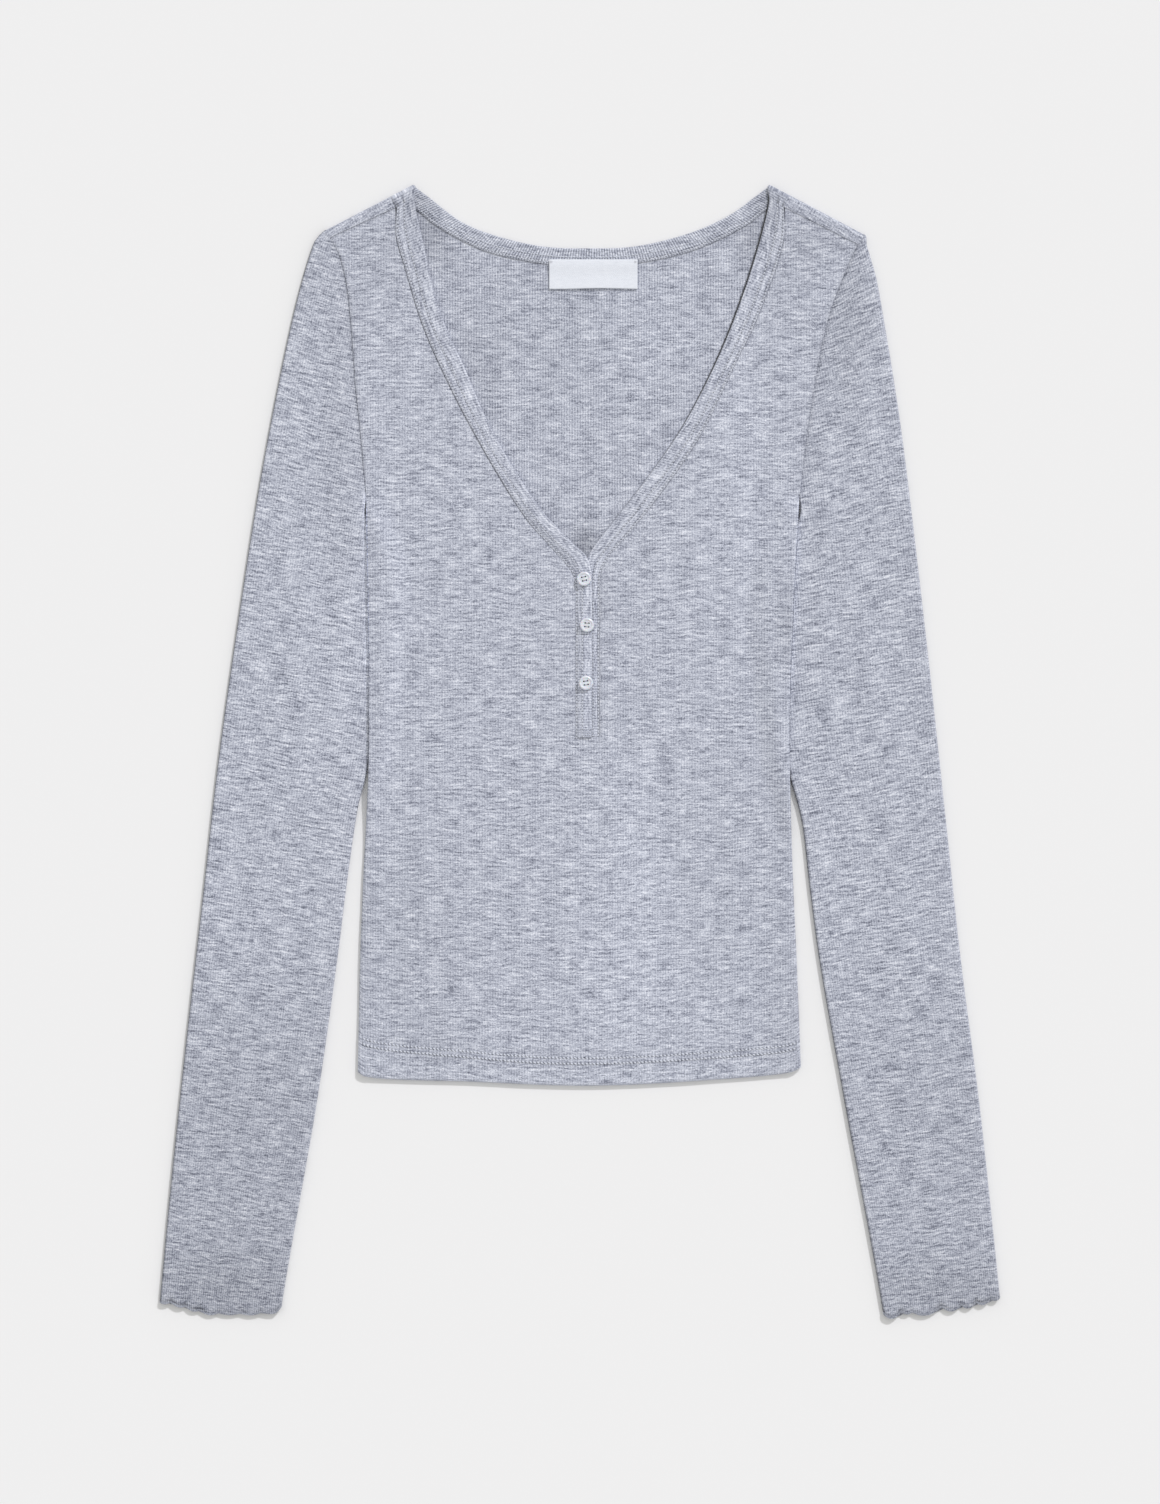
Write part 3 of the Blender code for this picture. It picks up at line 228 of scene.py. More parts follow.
FRONT_FOLDS = (
    (21.0, 68.5, 9.0, 1.3, 84.0, 0.4),
    (17.5, 74.0, 5.0, 1.2, 62.0, 0.3),
    (22.0, 60.5, 7.0, 1.6, 96.0, 0.22),
    (38.0, -95.0, 90.0, 13.0, 15.0, 0.75),
    (88.0, 190.0, 105.0, 16.0, 10.0, 0.65),
    (-72.0, 60.0, 95.0, 15.0, -8.0, 0.5),
    (-25.0, -150.0, 52.0, 12.0, -12.0, 0.45),
    (98.0, -40.0, 80.0, 12.0, -6.0, 0.45),
    (58.0, -60.0, 70.0, 6.0, 14.0, -0.3),
    (14.0, -130.0, 62.0, 6.0, 12.0, -0.28),
    (66.0, 205.0, 60.0, 6.0, 22.0, -0.25),
    (-104.0, 150.0, 66.0, 7.0, -5.0, -0.3),
    (-52.0, 108.0, 42.0, 5.0, -30.0, -0.22),
    (-96.0, -70.0, 48.0, 5.0, 4.0, 0.25),
    (112.0, 96.0, 40.0, 5.0, 8.0, -0.22),
)
SLEEVE_FOLDS = {
    "right": ((-178.0, 205.0, 60.0, 12.0, -12.0, 0.6), (-185.0, 10.0, 75.0, 13.0, -14.0, 0.55),
              (-215.0, -170.0, 60.0, 12.0, -8.0, 0.5), (-205.0, -285.0, 34.0, 9.0, -16.0, 0.45),
              (-158.0, 110.0, 48.0, 6.0, -15.0, -0.3), (-168.0, 60.0, 30.0, 5.0, -26.0, 0.25),
              (-228.0, -70.0, 44.0, 5.0, -7.0, -0.25), (-182.0, -110.0, 40.0, 6.0, -10.0, 0.3),
              (-236.0, -250.0, 34.0, 5.0, -6.0, -0.22)),
    "left": ((182.0, 200.0, 60.0, 12.0, 14.0, 0.6), (192.0, 0.0, 75.0, 13.0, 10.0, 0.55),
             (214.0, -150.0, 60.0, 12.0, 12.0, 0.5), (222.0, -292.0, 30.0, 9.0, 12.0, 0.45),
             (160.0, 96.0, 44.0, 6.0, 12.0, -0.3), (205.0, 84.0, 36.0, 5.0, 7.0, 0.25),
             (176.0, -62.0, 40.0, 5.0, 14.0, -0.25), (238.0, -190.0, 42.0, 5.0, 7.0, -0.25),
             (188.0, -236.0, 36.0, 5.0, 10.0, 0.22)),
}
# These lift only the back's inner face, which shows in the neck opening
BACK_FOLDS = (
    (-44.0, 60.0, 92.0, 12.0, 7.0, 0.4),
    (52.0, 130.0, 84.0, 14.0, -9.0, 0.45),
    (-20.0, -110.0, 76.0, 11.0, -10.0, 0.4),
    (84.0, -60.0, 64.0, 9.0, 6.0, 0.3),
    (-90.0, 190.0, 60.0, 8.0, -14.0, 0.3),
)

# ---- Buttons and label ----

BUTTON_CENTRES = ((3.1, 107.3), (4.9, 78.7), (4.3, 42.8))
BUTTON_FACE = 4.6 + 2.0 - 0.55
BUTTON_TURNS = (14.0, -3.0, 8.0)
HOLE_RING = 1.63
LABEL_X = (-18.6, 36.3)
LABEL_TOP = 305.5
LABEL_LENGTH = 18.2
LABEL_PROFILE = ((0.0, 3.3), (0.21, 3.3), (0.38, 2.85), (0.58, 2.5), (1.0, 2.5))
LABEL_WALL = 0.7

# ---- Body panels ----

SIDE_COLUMN = {"right": -315 * STEP, "left": 314 * STEP}
SEAM_ROWS = (2.4, 1.4, 0.7, 0.25, 0.0, 0.0)
SEAM_DROPS = (0.01, 0.04, 0.12, 0.22, 0.3, 1.1)
SEAM_DEPTH = 0.3
SEAM_WIDTH = 0.75
SEAM_WALL = 0.8  # the cut edges go on down, so that no gap opens between two pieces
ROLLED = ((0.0, 1.8), (0.04, 1.42), (0.17, 1.0), (0.45, 0.58), (0.85, 0.28), (1.3, 0.08),
          (2.0, 0.0))
UNROLLED = ((0.0, 0.9), (0.05, 0.4), (0.2, 0.15), (0.5, 0.04), (0.9, 0.0), (1.3, 0.0), (2.0, 0.0))
HEM_RISES = (18.4, 17.8, 17.2, 16.6, 16.0, 15.2, 14.4, 13.8, 13.2, 12.4, 9.0, 5.0, 2.4)
# Rows round the hem's edge as (rise, drop, how far the ribs stand outwards)
HEM_ROLL = ((1.3, 0.0, 0.0), (0.55, 0.12, 0.45), (0.15, 0.42, 0.85), (0.0, 0.8, 1.0),
            (0.2, 1.2, 0.7), (0.8, 1.45, 0.0), (15.0, 1.5, 0.0))
HEM_ROLL_FROM = 1.3  # above the hem's edge
HEM_ROLL_STEP = 1.5  # of knit from one of its rows to the next
HEM_LOWEST = min(y for x, y in HEM)
HEM_DEEPER = 5.2
HEM_DEEPER_FROM = -20.0
HEM_DEEPER_OVER = 105.0
HEM_DEEPER_MOST = 1.15
HEM_DEEPER_BEND = 1.6
SAG_HEIGHTS = (60.0, -190.0)  # between these the courses take up the hem's sag
FRONT_SETTLES = 7.0  # below the shoulder's fold
SLEEVE_SETTLES = 1.0
EDGE_SINK = 1.1  # how far the body's edge presses into the sleeve under it
SINK_WIDTH = 9.0
SINK_HEIGHTS = ((166.0, 150.0), (-30.0, 10.0))
EDGE_COLUMNS = 15  # beside the rolled edge
EDGE_ENDS = (1.3, 0.2)  # the side edge's last rises above the hem's corner
EDGE_CURL = 7.0  # the side edge is fully rolled this far below the underarm
HEM_CLOSES = (0.3, 0.1)  # how far a side edge's last row drops, and half the gap it leaves
ARM_ROWS = (0.0, 0.0, 0.9, 2.2, 4.5)  # rises above the armhole's seam
ARM_LEAST = 0.5  # of height from the armhole's seam to the shoulder's
ARM_FADE = 12.0  # below this height the rows at both seams draw together
# Rows of points above the slit's foot, beside the armhole, along the side edge and below the foot
FRONT_ROWS = (52, 34, 60, 36)
BACK_ROWS = (40, 20, 60, 24)
WRAP_ROWS = 11
WRAP_UNDER_STRIP = 3.0  # the wrapped cloth ends this far inside the binding's seam
WRAP_SLANT = 0.12
WRAP_RELIEF = 0.5
WRAP_TONE = 0.97
WRAP_END_TONE = 0.7
# The back's inner face, where the neckline shows it
INSIDE_MARGIN = 6.0  # beyond the neckline on each side
INSIDE_PLACKET = (-2.6, 13.0)  # between these it goes down to its foot
INSIDE_FOOT = 90.0
INSIDE_HIDDEN = 14.0  # how far it goes on under the front
INSIDE_BELOW_FOLD = 3.0
INSIDE_LEAST = 8  # of height
INSIDE_ROWS = 46
INSIDE_SHIFT = 400.0 * PITCH  # a part of the knit that shows nowhere else

# ---- Sleeves ----

QUARTER_ARC = RADIUS * math.pi / 2
ARC_GAIN = QUARTER_ARC - RADIUS
SLEEVE_END_ROWS = (7.0, 3.2, 1.4, 0.5, 0.0, 0.0)  # below a sleeve's top
SLEEVE_ROWS = {"upper": 91, "under": 63}
# The courses' slope across the sleeve, in degrees at heights
LEAN_HEIGHTS = (-340.0, 120.0, 230.0, 320.0)
LEANS = {"right": (6.5, 9.0, 15.0, 14.0), "left": (6.5, 9.0, 15.0, 25.0)}

# ---- Lightness, with painted light and shade ----
# Broad soft spots of painted light and shade as (x, y, half width, half height, change)

BODY_PAINTED_SHADING = (
    (30.0, -90.0, 24.0, 90.0, 0.075),
    (48.0, -165.0, 22.0, 50.0, 0.03),
    (96.0, 150.0, 24.0, 95.0, 0.05),
    (-104.0, -130.0, 34.0, 70.0, -0.06),
    (100.0, -80.0, 24.0, 60.0, -0.02),
    (-84.0, -182.0, 18.0, 18.0, -0.04),
    (130.0, -170.0, 16.0, 50.0, -0.06),
    (129.0, 78.0, 7.0, 30.0, -0.16),
    (-134.0, -100.0, 7.0, 100.0, -0.06),
    (16.0, 96.0, 5.0, 22.0, -0.07),
    (15.0, 26.0, 9.0, 15.0, -0.06),
    (128.0, 300.0, 20.0, 42.0, -0.05),
    (154.0, 318.0, 24.0, 14.0, -0.06),
    (-110.0, 318.0, 14.0, 26.0, -0.05),
    (-134.0, 300.0, 20.0, 40.0, -0.06),
)
INSIDE_PAINTED_SHADING = (
    (4.0, 128.0, 9.0, 12.0, -0.3),
    (-92.0, 322.0, 14.0, 24.0, -0.22),
    (108.0, 322.0, 12.0, 24.0, -0.18),
    (8.0, 296.0, 34.0, 9.0, -0.08),
    (-66.0, 232.0, 18.0, 40.0, -0.08),
    (40.0, 262.0, 30.0, 34.0, 0.04),
    (-10.0, 270.0, 60.0, 50.0, -0.03),
)
SLEEVE_PAINTED_SHADING = {
    "right": ((-186.0, 300.0, 30.0, 30.0, -0.07), (-150.0, 200.0, 12.0, 90.0, -0.05),
              (-222.0, -335.0, 60.0, 26.0, -0.14), (-160.0, 60.0, 26.0, 90.0, 0.03),
              (-136.0, 112.0, 9.0, 36.0, 0.04), (-140.0, 30.0, 9.0, 50.0, 0.06)),
    "left": ((166.0, 272.0, 16.0, 52.0, -0.12), (142.0, 130.0, 12.0, 110.0, -0.05),
             (222.0, -335.0, 60.0, 20.0, -0.13), (215.0, 80.0, 26.0, 90.0, -0.02),
             (140.0, 112.0, 9.0, 36.0, 0.03)),
}
# Painted shade under each button, seen through its holes, and at the neck's corners and the V's foot
STRIP_PAINTED_SHADING = tuple((x, y, 2.6, 2.6, -1.0) for x, y in BUTTON_CENTRES) + (
    (-100.0, 340.0, 12.0, 14.0, -0.2),
    (118.0, 338.0, 9.0, 22.0, -0.2),
    (5.6, 126.0, 8.0, 7.0, -0.08),
    (-100.0, 295.0, 14.0, 34.0, -0.05),
)
# Painted shade lines along seams as (darkness, half width)
ARMHOLE_PAINTED_SHADE = (0.12, 1.6)
SLEEVE_HEAD_PAINTED_SHADE = (0.16, 1.8)
SHOULDER_PAINTED_SHADE = (0.24, 1.1)
ARMHOLE_LINE_TOP = 190
# Painted shade along each long side of the placket, as darkness by side
PLACKET_PAINTED_SHADE = {"right": 0.08, "left": 0.22}
PLACKET_LINE_WIDTH = 0.9
PLACKET_LINE_TOP = (116.0, 108.0)
PLACKET_WANDER = 0.35
PLACKET_WAVE = 6.1
PLACKET_LIGHTER = 0.05
UNDERARM_LIGHT = {"right": 0.42, "left": 0.2}  # painted light where the body's edge lies on the sleeve
UNDERARM_LIGHT_WIDTH = 2.2
INSIDE_TONE = 0.985
INSIDE_LIGHT = (0.2, 1.8)  # how much painted light beside the strip, and over what width
INSIDE_LIGHT_HEIGHTS = (130, 200)
STRIP_TONE = 1.03
SLEEVE_TONE = 0.965
SLEEVE_DARKENS = {"right": 0.12, "left": 0.075}  # towards the cuff
SLEEVE_DARKENS_OVER = (-80, -240)
FOLDED_EDGE_PAINTED_SHADE = 0.6
NOTCH_PAINTED_SHADE = 0.25
CUFF_EDGE_PAINTED_LIGHT = 0.04
CUFF_RIB_PAINTED_SHADE = 0.06
CUFF_RIBS_OVER = (48.0, 4.0)  # above the cuff's edge
# Painted shade in the dimples of rows of stitches as (darkness along the row, more at the gaps, half
# width)
HEM_DIMPLE_PAINTED_SHADE = (0.08, 0.55, 0.9)
STRIP_DIMPLE_PAINTED_SHADE = (0.12, 0.62, 0.038)
INSIDE_DIMPLE_PAINTED_SHADE = (0.08, 0.5, 0.05)

# ---- Stitches ----

STITCH = 2.3
GAP_SHARE = 0.3
HEM_STITCH_RISES = (1.2, -2.2)
HEM_STITCH_ENDS = (HEM[0][0] + 3.0, HEM[-1][0] - 3.0)
HEM_STITCHES = 117
CUFF_STITCH = 0.95
CUFF_STITCH_JITTER = 0.16
CUFF_STITCH_SLANT = (0.4, 0.2)  # its mean and spread
CUFF_STITCH_REACH = ((0.0, -0.1, 0.05), (0.0, 1.4, 0.26))
BAR_RISES = (0.9, 2.2, 3.5, 4.8)
BAR_X = (-1.6, 8.6, 1.15)  # from, to and step
BACK_NECK_ROWS = (0.4, 4.4)
# A thread's form as (share of its length, size, share of the arch)
THREAD_PROFILE = ((0.0, 0.3, -0.6), (0.08, 0.8, -0.2), (0.3, 1.0, 0.7), (0.5, 1.05, 1.0),
                  (0.7, 1.0, 0.7), (0.92, 0.8, -0.2), (1.0, 0.3, -0.6))

# ---- Studio ----

FILL = 0.7
KEY = 1.62
KEY_WAY = (-0.58, -0.95, -0.85)
FRAME_HEIGHT = 1504 * 0.62  # the photo's pixels, and millimetres to a pixel
LENS = 100.0
SENSOR = 36.0
FLOOR_RADIUS = 14.0
FLOOR_RIM = 0.6
FLOOR_SIDES = 24
FLOOR_DROP = 0.00003
PALE = (0.855, 0.853, 0.853)


# ---- Plan geometry ----


def unit(a, b):
    size = math.dist(a, b)
    return (b[0] - a[0]) / size, (b[1] - a[1]) / size


def moved(point, direction, distance):
    return point[0] + direction[0] * distance, point[1] + direction[1] * distance


def ease(value):
    """0 below 0, 1 above 1, and smooth between."""
    value = np.clip(value, 0.0, 1.0)
    return value * value * (3 - 2 * value)


def between(value, start, end):
    return ease((value - start) / (end - start))


def soft_line(distance, width):
    """1 on a line, fading over the width beside it."""
    return np.exp(-(distance / width) ** 2)


def lengths_along(points):
    """The distance to each point along a line of them."""
    steps = np.linalg.norm(np.diff(points, axis=0), axis=1)
    return np.concatenate([[0.0], np.cumsum(steps)])


def points_on(line, along, at):
    """Points at distances along a line, whose own points are at the distances along."""
    return np.stack([np.interp(at, along, values) for values in line.T], axis=-1)


class Curve:
    """A smooth plan curve through a few points."""

    SAMPLES = 14

    def __init__(self, points):
        knots = np.array(points, float)
        ends = 2 * knots[[0, -1]] - knots[[1, -2]]
        knots = np.vstack([ends[:1], knots, ends[1:]])
        samples = [knots[1]]
        for four in zip(knots, knots[1:], knots[2:], knots[3:]):
            samples.extend(self.span(*four))
        self.points = np.array(samples)
        self.distances = lengths_along(self.points)
        self.length = float(self.distances[-1])

    def span(self, a, b, c, d):
        """Points from b to c on the centripetal Catmull-Rom curve."""
        t1 = math.sqrt(np.linalg.norm(b - a))
        t2 = t1 + math.sqrt(np.linalg.norm(c - b))
        t3 = t2 + math.sqrt(np.linalg.norm(d - c))
        for t in np.linspace(t1, t2, self.SAMPLES + 1)[1:]:
            ab = a + (b - a) * t / t1
            bc = b + (c - b) * (t - t1) / (t2 - t1)
            cd = c + (d - c) * (t - t2) / (t3 - t2)
            abc = ab + (bc - ab) * t / t2
            bcd = bc + (cd - bc) * (t - t1) / (t3 - t1)
            yield abc + (bcd - abc) * (t - t1) / (t2 - t1)

    def at(self, distance):
        return points_on(self.points, self.distances, distance)

    def x_at(self, y):
        return np.interp(-np.asarray(y), -self.points[:, 1], self.points[:, 0])

    def distance_at_height(self, y):
        return np.interp(-np.asarray(y), -self.points[:, 1], self.distances)


def fold_normal(side):
    x, y = unit(NECK_POINT[side], SHOULDER_POINT[side])
    return y * INWARDS[side], -x * INWARDS[side]


def below_fold(side, point, distance):
    return moved(point, fold_normal(side), -distance)


def armhole_curve(side):
    top = SHOULDER_POINT[side]
    start = tuple(below_fold(side, top, ARMHOLE_START * share) for share in (0.0, 0.5, 1.0))
    return Curve(start + ARMHOLE_POINTS[side] + (UNDERARM[side],))


def side_curve(side):
    corner = HEM[0] if side == "right" else HEM[-1]
    return Curve((UNDERARM[side],) + SIDE_POINTS[side] + (corner,))


def neck_curve(side):
    start = below_fold(side, STRIP_CORNER[side], SEAM_AT_NECK[side])
    return Curve((start,) + NECK_SEAM[side])


def free_curve(side):
    return Curve((below_fold(side, NECK_POINT[side], STRIP_RADIUS),) + FREE_FRONT[side])


def outer_curve(side):
    outwards = unit(NECK_POINT[side], SHOULDER_POINT[side])
    start = tuple(moved(SHOULDER_POINT[side], outwards, step) for step in (0.15, 1.75))
    return Curve(start + SLEEVE_OUTER[side])


def back_seam_curve():
    ends = []
    for side in SIDES:
        outwards = unit(NECK_POINT[side], SHOULDER_POINT[side])
        ends.append(below_fold(side, moved(STRIP_CORNER[side], outwards, 2 * SEAM_GAP), RADIUS))
    return Curve((ends[0],) + SEAM_BACK + (ends[1],))


ARMHOLE = {side: armhole_curve(side) for side in SIDES}
BODY_SIDE = {side: side_curve(side) for side in SIDES}
NECK = {side: neck_curve(side) for side in SIDES}
FREE = {side: free_curve(side) for side in SIDES}
INNER = {side: Curve((UNDERARM[side],) + SLEEVE_INNER[side]) for side in SIDES}
OUTER = {side: outer_curve(side) for side in SIDES}
REACH = {side: Curve(SLEEVE_REACH[side]) for side in SIDES}
HEM_LINE = Curve(HEM)
BACK_SEAM = back_seam_curve()
MIDDLE = 7.7


def hem_height(x):
    return np.interp(x, HEM_LINE.points[:, 0], HEM_LINE.points[:, 1])


def edge_x(side, y):
    """The body's edge at a height: the armhole, and below it the side."""
    above = ARMHOLE[side].x_at(y)
    return np.where(np.asarray(y) > UNDERARM[side][1], above, BODY_SIDE[side].x_at(y))


def lift(x, y):
    """How far the body is lifted where it lies over a sleeve."""
    found = np.zeros(np.broadcast(x, y).shape)
    for side in SIDES:
        hold, foot = LIFT_FOOT[side]
        by_height = between(y, *LIFT_TOP) * between(y, foot, hold)
        past = (x - INNER[side].x_at(y)) * INWARDS[side] - LIFT_LEDGE
        found = np.maximum(found, LIFT * by_height * ease(1 - past / LIFT_SLOPE))
    return found


def fold_relief(x, y, folds):
    total = np.zeros(np.broadcast(x, y).shape)
    for centre_x, centre_y, half_length, half_width, lean, height in folds:
        angle = math.radians(lean)
        dx, dy = x - centre_x, y - centre_y
        down = dy * math.cos(angle) - dx * math.sin(angle)
        across = dx * math.cos(angle) + dy * math.sin(angle)
        total = total + height * np.exp(-((down / half_length) ** 2) - (across / half_width) ** 2)
    return total


def groove(phase, depth=GROOVE):
    """How far the knit's surface lies below the tops of its ribs, at a phase in ribs."""
    return depth * (np.cos(2 * math.pi * phase) - 1) / 2


def below_shoulder(x, y):
    """The distance below the shoulder's fold on the nearer side."""
    distances = {}
    for side in SIDES:
        nx, ny = fold_normal(side)
        px, py = NECK_POINT[side]
        distances[side] = -((x - px) * nx + (y - py) * ny)
    return np.where(np.asarray(x) < MIDDLE, distances["right"], distances["left"])


def from_edge(x, y):
    right = (x - edge_x("right", y)) * INWARDS["right"]
    left = (x - edge_x("left", y)) * INWARDS["left"]
    return np.minimum(right, left)


# ---- Making meshes ----


class Cloth:
    """Collects grids of points with their place in the cloth, and makes one mesh of them."""

    def __init__(self):
        self.points, self.marks, self.faces, self.parts = [], [], [], []
        self.count = 0

    def grid(self, x, y, z, u, v, tone=1.0, upwards=True, part=0):
        """Adds a grid. (u, v) is the place in the cloth, tone its lightness with painted light and
        shade, part its material.
        """
        x, y, z, u, v, tone = np.broadcast_arrays(x, y, z, u, v, tone)
        rows, columns = x.shape
        index = np.arange(rows * columns).reshape(rows, columns) + self.count
        corners = (index[:-1, :-1], index[1:, :-1], index[1:, 1:], index[:-1, 1:])
        faces = np.stack(corners, axis=-1).reshape(-1, 4)
        self.points.append(np.stack([x, y, z], axis=-1).reshape(-1, 3))
        self.marks.append(np.stack([u, v, tone], axis=-1).reshape(-1, 3))
        self.faces.append(self.turned(faces, self.points[-1], upwards))
        self.parts.append(np.full(len(faces), part))
        self.count += rows * columns

    def turned(self, faces, points, upwards):
        """The faces, turned over if they face the wrong way."""
        a, b, c, d = (points[faces[:, i] - self.count] for i in range(4))
        facing = np.cross(c - a, d - b)[:, 2].sum()
        return faces if (facing > 0) == upwards else faces[:, ::-1]

    def make(self, name, finish, slot, *others):
        points = np.concatenate(self.points)
        marks = np.concatenate(self.marks)
        faces = np.concatenate(self.faces)
        _, first, place = np.unique(np.round(points, 4), axis=0, return_index=True,
                                    return_inverse=True)
        faces = place.ravel()[faces]
        whole = [tuple(dict.fromkeys(face)) for face in faces.tolist()]
        kept = [index for index, face in enumerate(whole) if len(face) > 2]
        mesh = bpy.data.meshes.new(name)
        mesh.from_pydata((points[first] * MM).tolist(), [], [whole[index] for index in kept])
        mesh.polygons.foreach_set("material_index", np.concatenate(self.parts)[kept])
        layer = mesh.attributes.new("cloth", "FLOAT_VECTOR", "POINT")
        layer.data.foreach_set("vector", marks[first].astype(np.float32).ravel())
        mesh.shade_smooth()
        piece = add_piece(name, mesh, finish)
        for other in others:
            mesh.materials.append(other)
        return piece


def show(name, data):
    """A new object, linked to the scene."""
    shown = bpy.data.objects.new(name, data)
    bpy.context.scene.collection.objects.link(shown)
    return shown


def add_piece(name, mesh, finish):
    piece = show(name, mesh)
    mesh.materials.append(finish)
    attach(piece, "root")
    return piece


# ---- Node-based materials ----


class Nodes:
    """Builds a material's node tree from plain expressions."""

    def __init__(self, name):
        self.material = bpy.data.materials.new(name)
        self.material.use_nodes = True
        self.tree = self.material.node_tree
        self.shader = self.tree.nodes["Principled BSDF"]

    def put(self, socket, value):
        if isinstance(value, bpy.types.NodeSocket):
            self.tree.links.new(value, socket)
        else:
            socket.default_value = value

    def add(self, kind, *values):
        """A new node, with values or sockets put into its first inputs."""
        node = self.tree.nodes.new("ShaderNode" + kind)
        for socket, value in zip(node.inputs, values):
            self.put(socket, value)
        return node

    def math(self, operation, first, second=0.0, third=0.0):
        node = self.add("Math", first, second, third)
        node.operation = operation
        return node.outputs[0]

    def scaled(self, value, factor, offset=0.0):
        return self.math("MULTIPLY_ADD", value, factor, offset)

    def wave(self, operation, value, length):
        """The sine or cosine of a value that comes round once in a length."""
        return self.math(operation, self.scaled(value, 2 * math.pi / length))

    def noise(self, axes, scales, seed=0.0, detail=2.0, roughness=0.5):
        """Noise at a place in the cloth or on the object, with each axis scaled."""
        place = [self.scaled(axis, scale) for axis, scale in zip(axes, scales)]
        node = self.add("TexNoise", self.add("CombineXYZ", *place, seed).outputs[0])
        node.inputs["Scale"].default_value = 1.0
        node.inputs["Detail"].default_value = detail
        node.inputs["Roughness"].default_value = roughness
        return node.outputs["Fac"]

    def cloth_place(self):
        """The place in the cloth, in millimetres, and the tone, which carries painted light and
        shade.
        """
        node = self.add("Attribute")
        node.attribute_name = "cloth"
        return self.add("SeparateXYZ", node.outputs["Vector"]).outputs

    def object_place(self):
        """The place on the object, in millimetres."""
        split = self.add("SeparateXYZ", self.add("TexCoord").outputs["Object"])
        return [self.math("MULTIPLY", socket, 1000.0) for socket in split.outputs]

    def sum(self, *terms):
        total = terms[0]
        for term in terms[1:]:
            total = self.math("ADD", total, term)
        return total

    def ramp(self, value, stops):
        node = self.add("ValToRGB", value)
        ramp = node.color_ramp
        while len(ramp.elements) < len(stops):
            ramp.elements.new(0.5)
        for element, (place, colour) in zip(ramp.elements, stops):
            element.position = place
            element.color = (*colour, 1.0)
        return node.outputs[0]

    def bump(self, height, distance):
        node = self.add("Bump")
        node.inputs["Strength"].default_value = 1.0
        node.inputs["Distance"].default_value = distance
        self.put(node.inputs["Height"], height)
        self.put(self.shader.inputs["Normal"], node.outputs[0])

    def finish(self, colour, roughness, others):
        """The material, with the shader's other inputs set by name."""
        self.put(self.shader.inputs["Base Color"], colour)
        self.put(self.shader.inputs["Roughness"], roughness)
        for name, value in others.items():
            self.shader.inputs[name].default_value = value
        return self.material


def linear(red, green, blue):
    """A colour given in screen values from 0 to 255, as the linear one."""
    values = (channel / 255 for channel in (red, green, blue))
    return tuple(v / 12.92 if v < 0.04045 else ((v + 0.055) / 1.055) ** 2.4 for v in values)


HEATHER = (
    (0.0, linear(104, 108, 122)),
    (0.3, linear(154, 158, 173)),
    (0.5, linear(184, 188, 201)),
    (0.7, linear(206, 210, 222)),
    (1.0, linear(240, 242, 250)),
)
# Noise as (length along a course, height, shift of the seed, detail, roughness, weight, kind)
KNIT_NOISES = (
    (12.0, 1.35, 0.0, 3.0, 0.55, 1.3, "streak"),
    (3.0, 0.95, 31.0, 2.0, 0.6, 1.1, "streak"),
    (12.0, 7.0, 57.0, 3.0, 0.6, 0.5, "blotch"),
    (0.9, 0.8, 83.0, 2.0, 0.6, 1.4, "fibre"),
)
COURSE = 0.92
COURSES_DRIFT = ((1 / 26.0, 1 / 18.0), 5.0)  # scales along and across, and how far


def rib_knit(name, pitch, seed, streak=1.0, rib=1.0, blotch=1.0):
    """Heather rib knit: streaks along the courses, painted shade in the grooves and small knitted
    loops.
    """
    nodes = Nodes(name)
    u, v, tone = nodes.cloth_place()
    painted_rib_shade = nodes.scaled(nodes.wave("COSINE", u, pitch), 0.5, 0.5)
    scales, reach = COURSES_DRIFT
    wavy = nodes.sum(v, nodes.scaled(nodes.noise((u, v), scales, seed), reach))
    strengths = {"streak": streak, "blotch": blotch, "fibre": 1.0}
    terms = []
    for length, height, shift, detail, roughness, weight, kind in KNIT_NOISES:
        noise = nodes.noise((u, wavy), (1 / length, 1 / height), seed + shift, detail, roughness)
        spread = weight * strengths[kind]
        terms.append(nodes.scaled(noise, spread, -spread / 2))
    # Painted shade between the ribs; rib sets how strong it is
    terms.append(nodes.scaled(painted_rib_shade, 0.2 * rib, 0.5 - 0.1 * rib))
    # The tone, which carries the pieces' painted light and shade, scales the colour
    shade = nodes.add("VectorMath", nodes.ramp(nodes.sum(*terms), HEATHER))
    shade.operation = "SCALE"
    nodes.put(shade.inputs["Scale"], tone)
    across = nodes.math("PINGPONG", nodes.scaled(u, 2 / pitch), 0.5)
    loops = nodes.math("MULTIPLY", nodes.wave("SINE", v, COURSE), across)
    fuzz = nodes.noise((u, v), (4.0, 4.0), seed)
    nodes.bump(nodes.sum(nodes.scaled(loops, 0.6), fuzz), 0.00012)
    return nodes.finish(shade.outputs[0], nodes.scaled(fuzz, 0.12, 0.82), {
        "Sheen Weight": 0.25, "Sheen Roughness": 0.45, "Specular IOR Level": 0.25})


def thread_material(name, colour):
    """Twisted sewing thread."""
    nodes = Nodes(name)
    x, y, z = nodes.object_place()
    twist = nodes.noise((x, y), (3.0, 3.0), z)
    dark = tuple(channel * 0.72 for channel in colour)
    nodes.bump(twist, 0.00006)
    return nodes.finish(nodes.ramp(twist, ((0.3, dark), (0.65, colour))), 0.6, {
        "Sheen Weight": 0.2, "Specular IOR Level": 0.35})


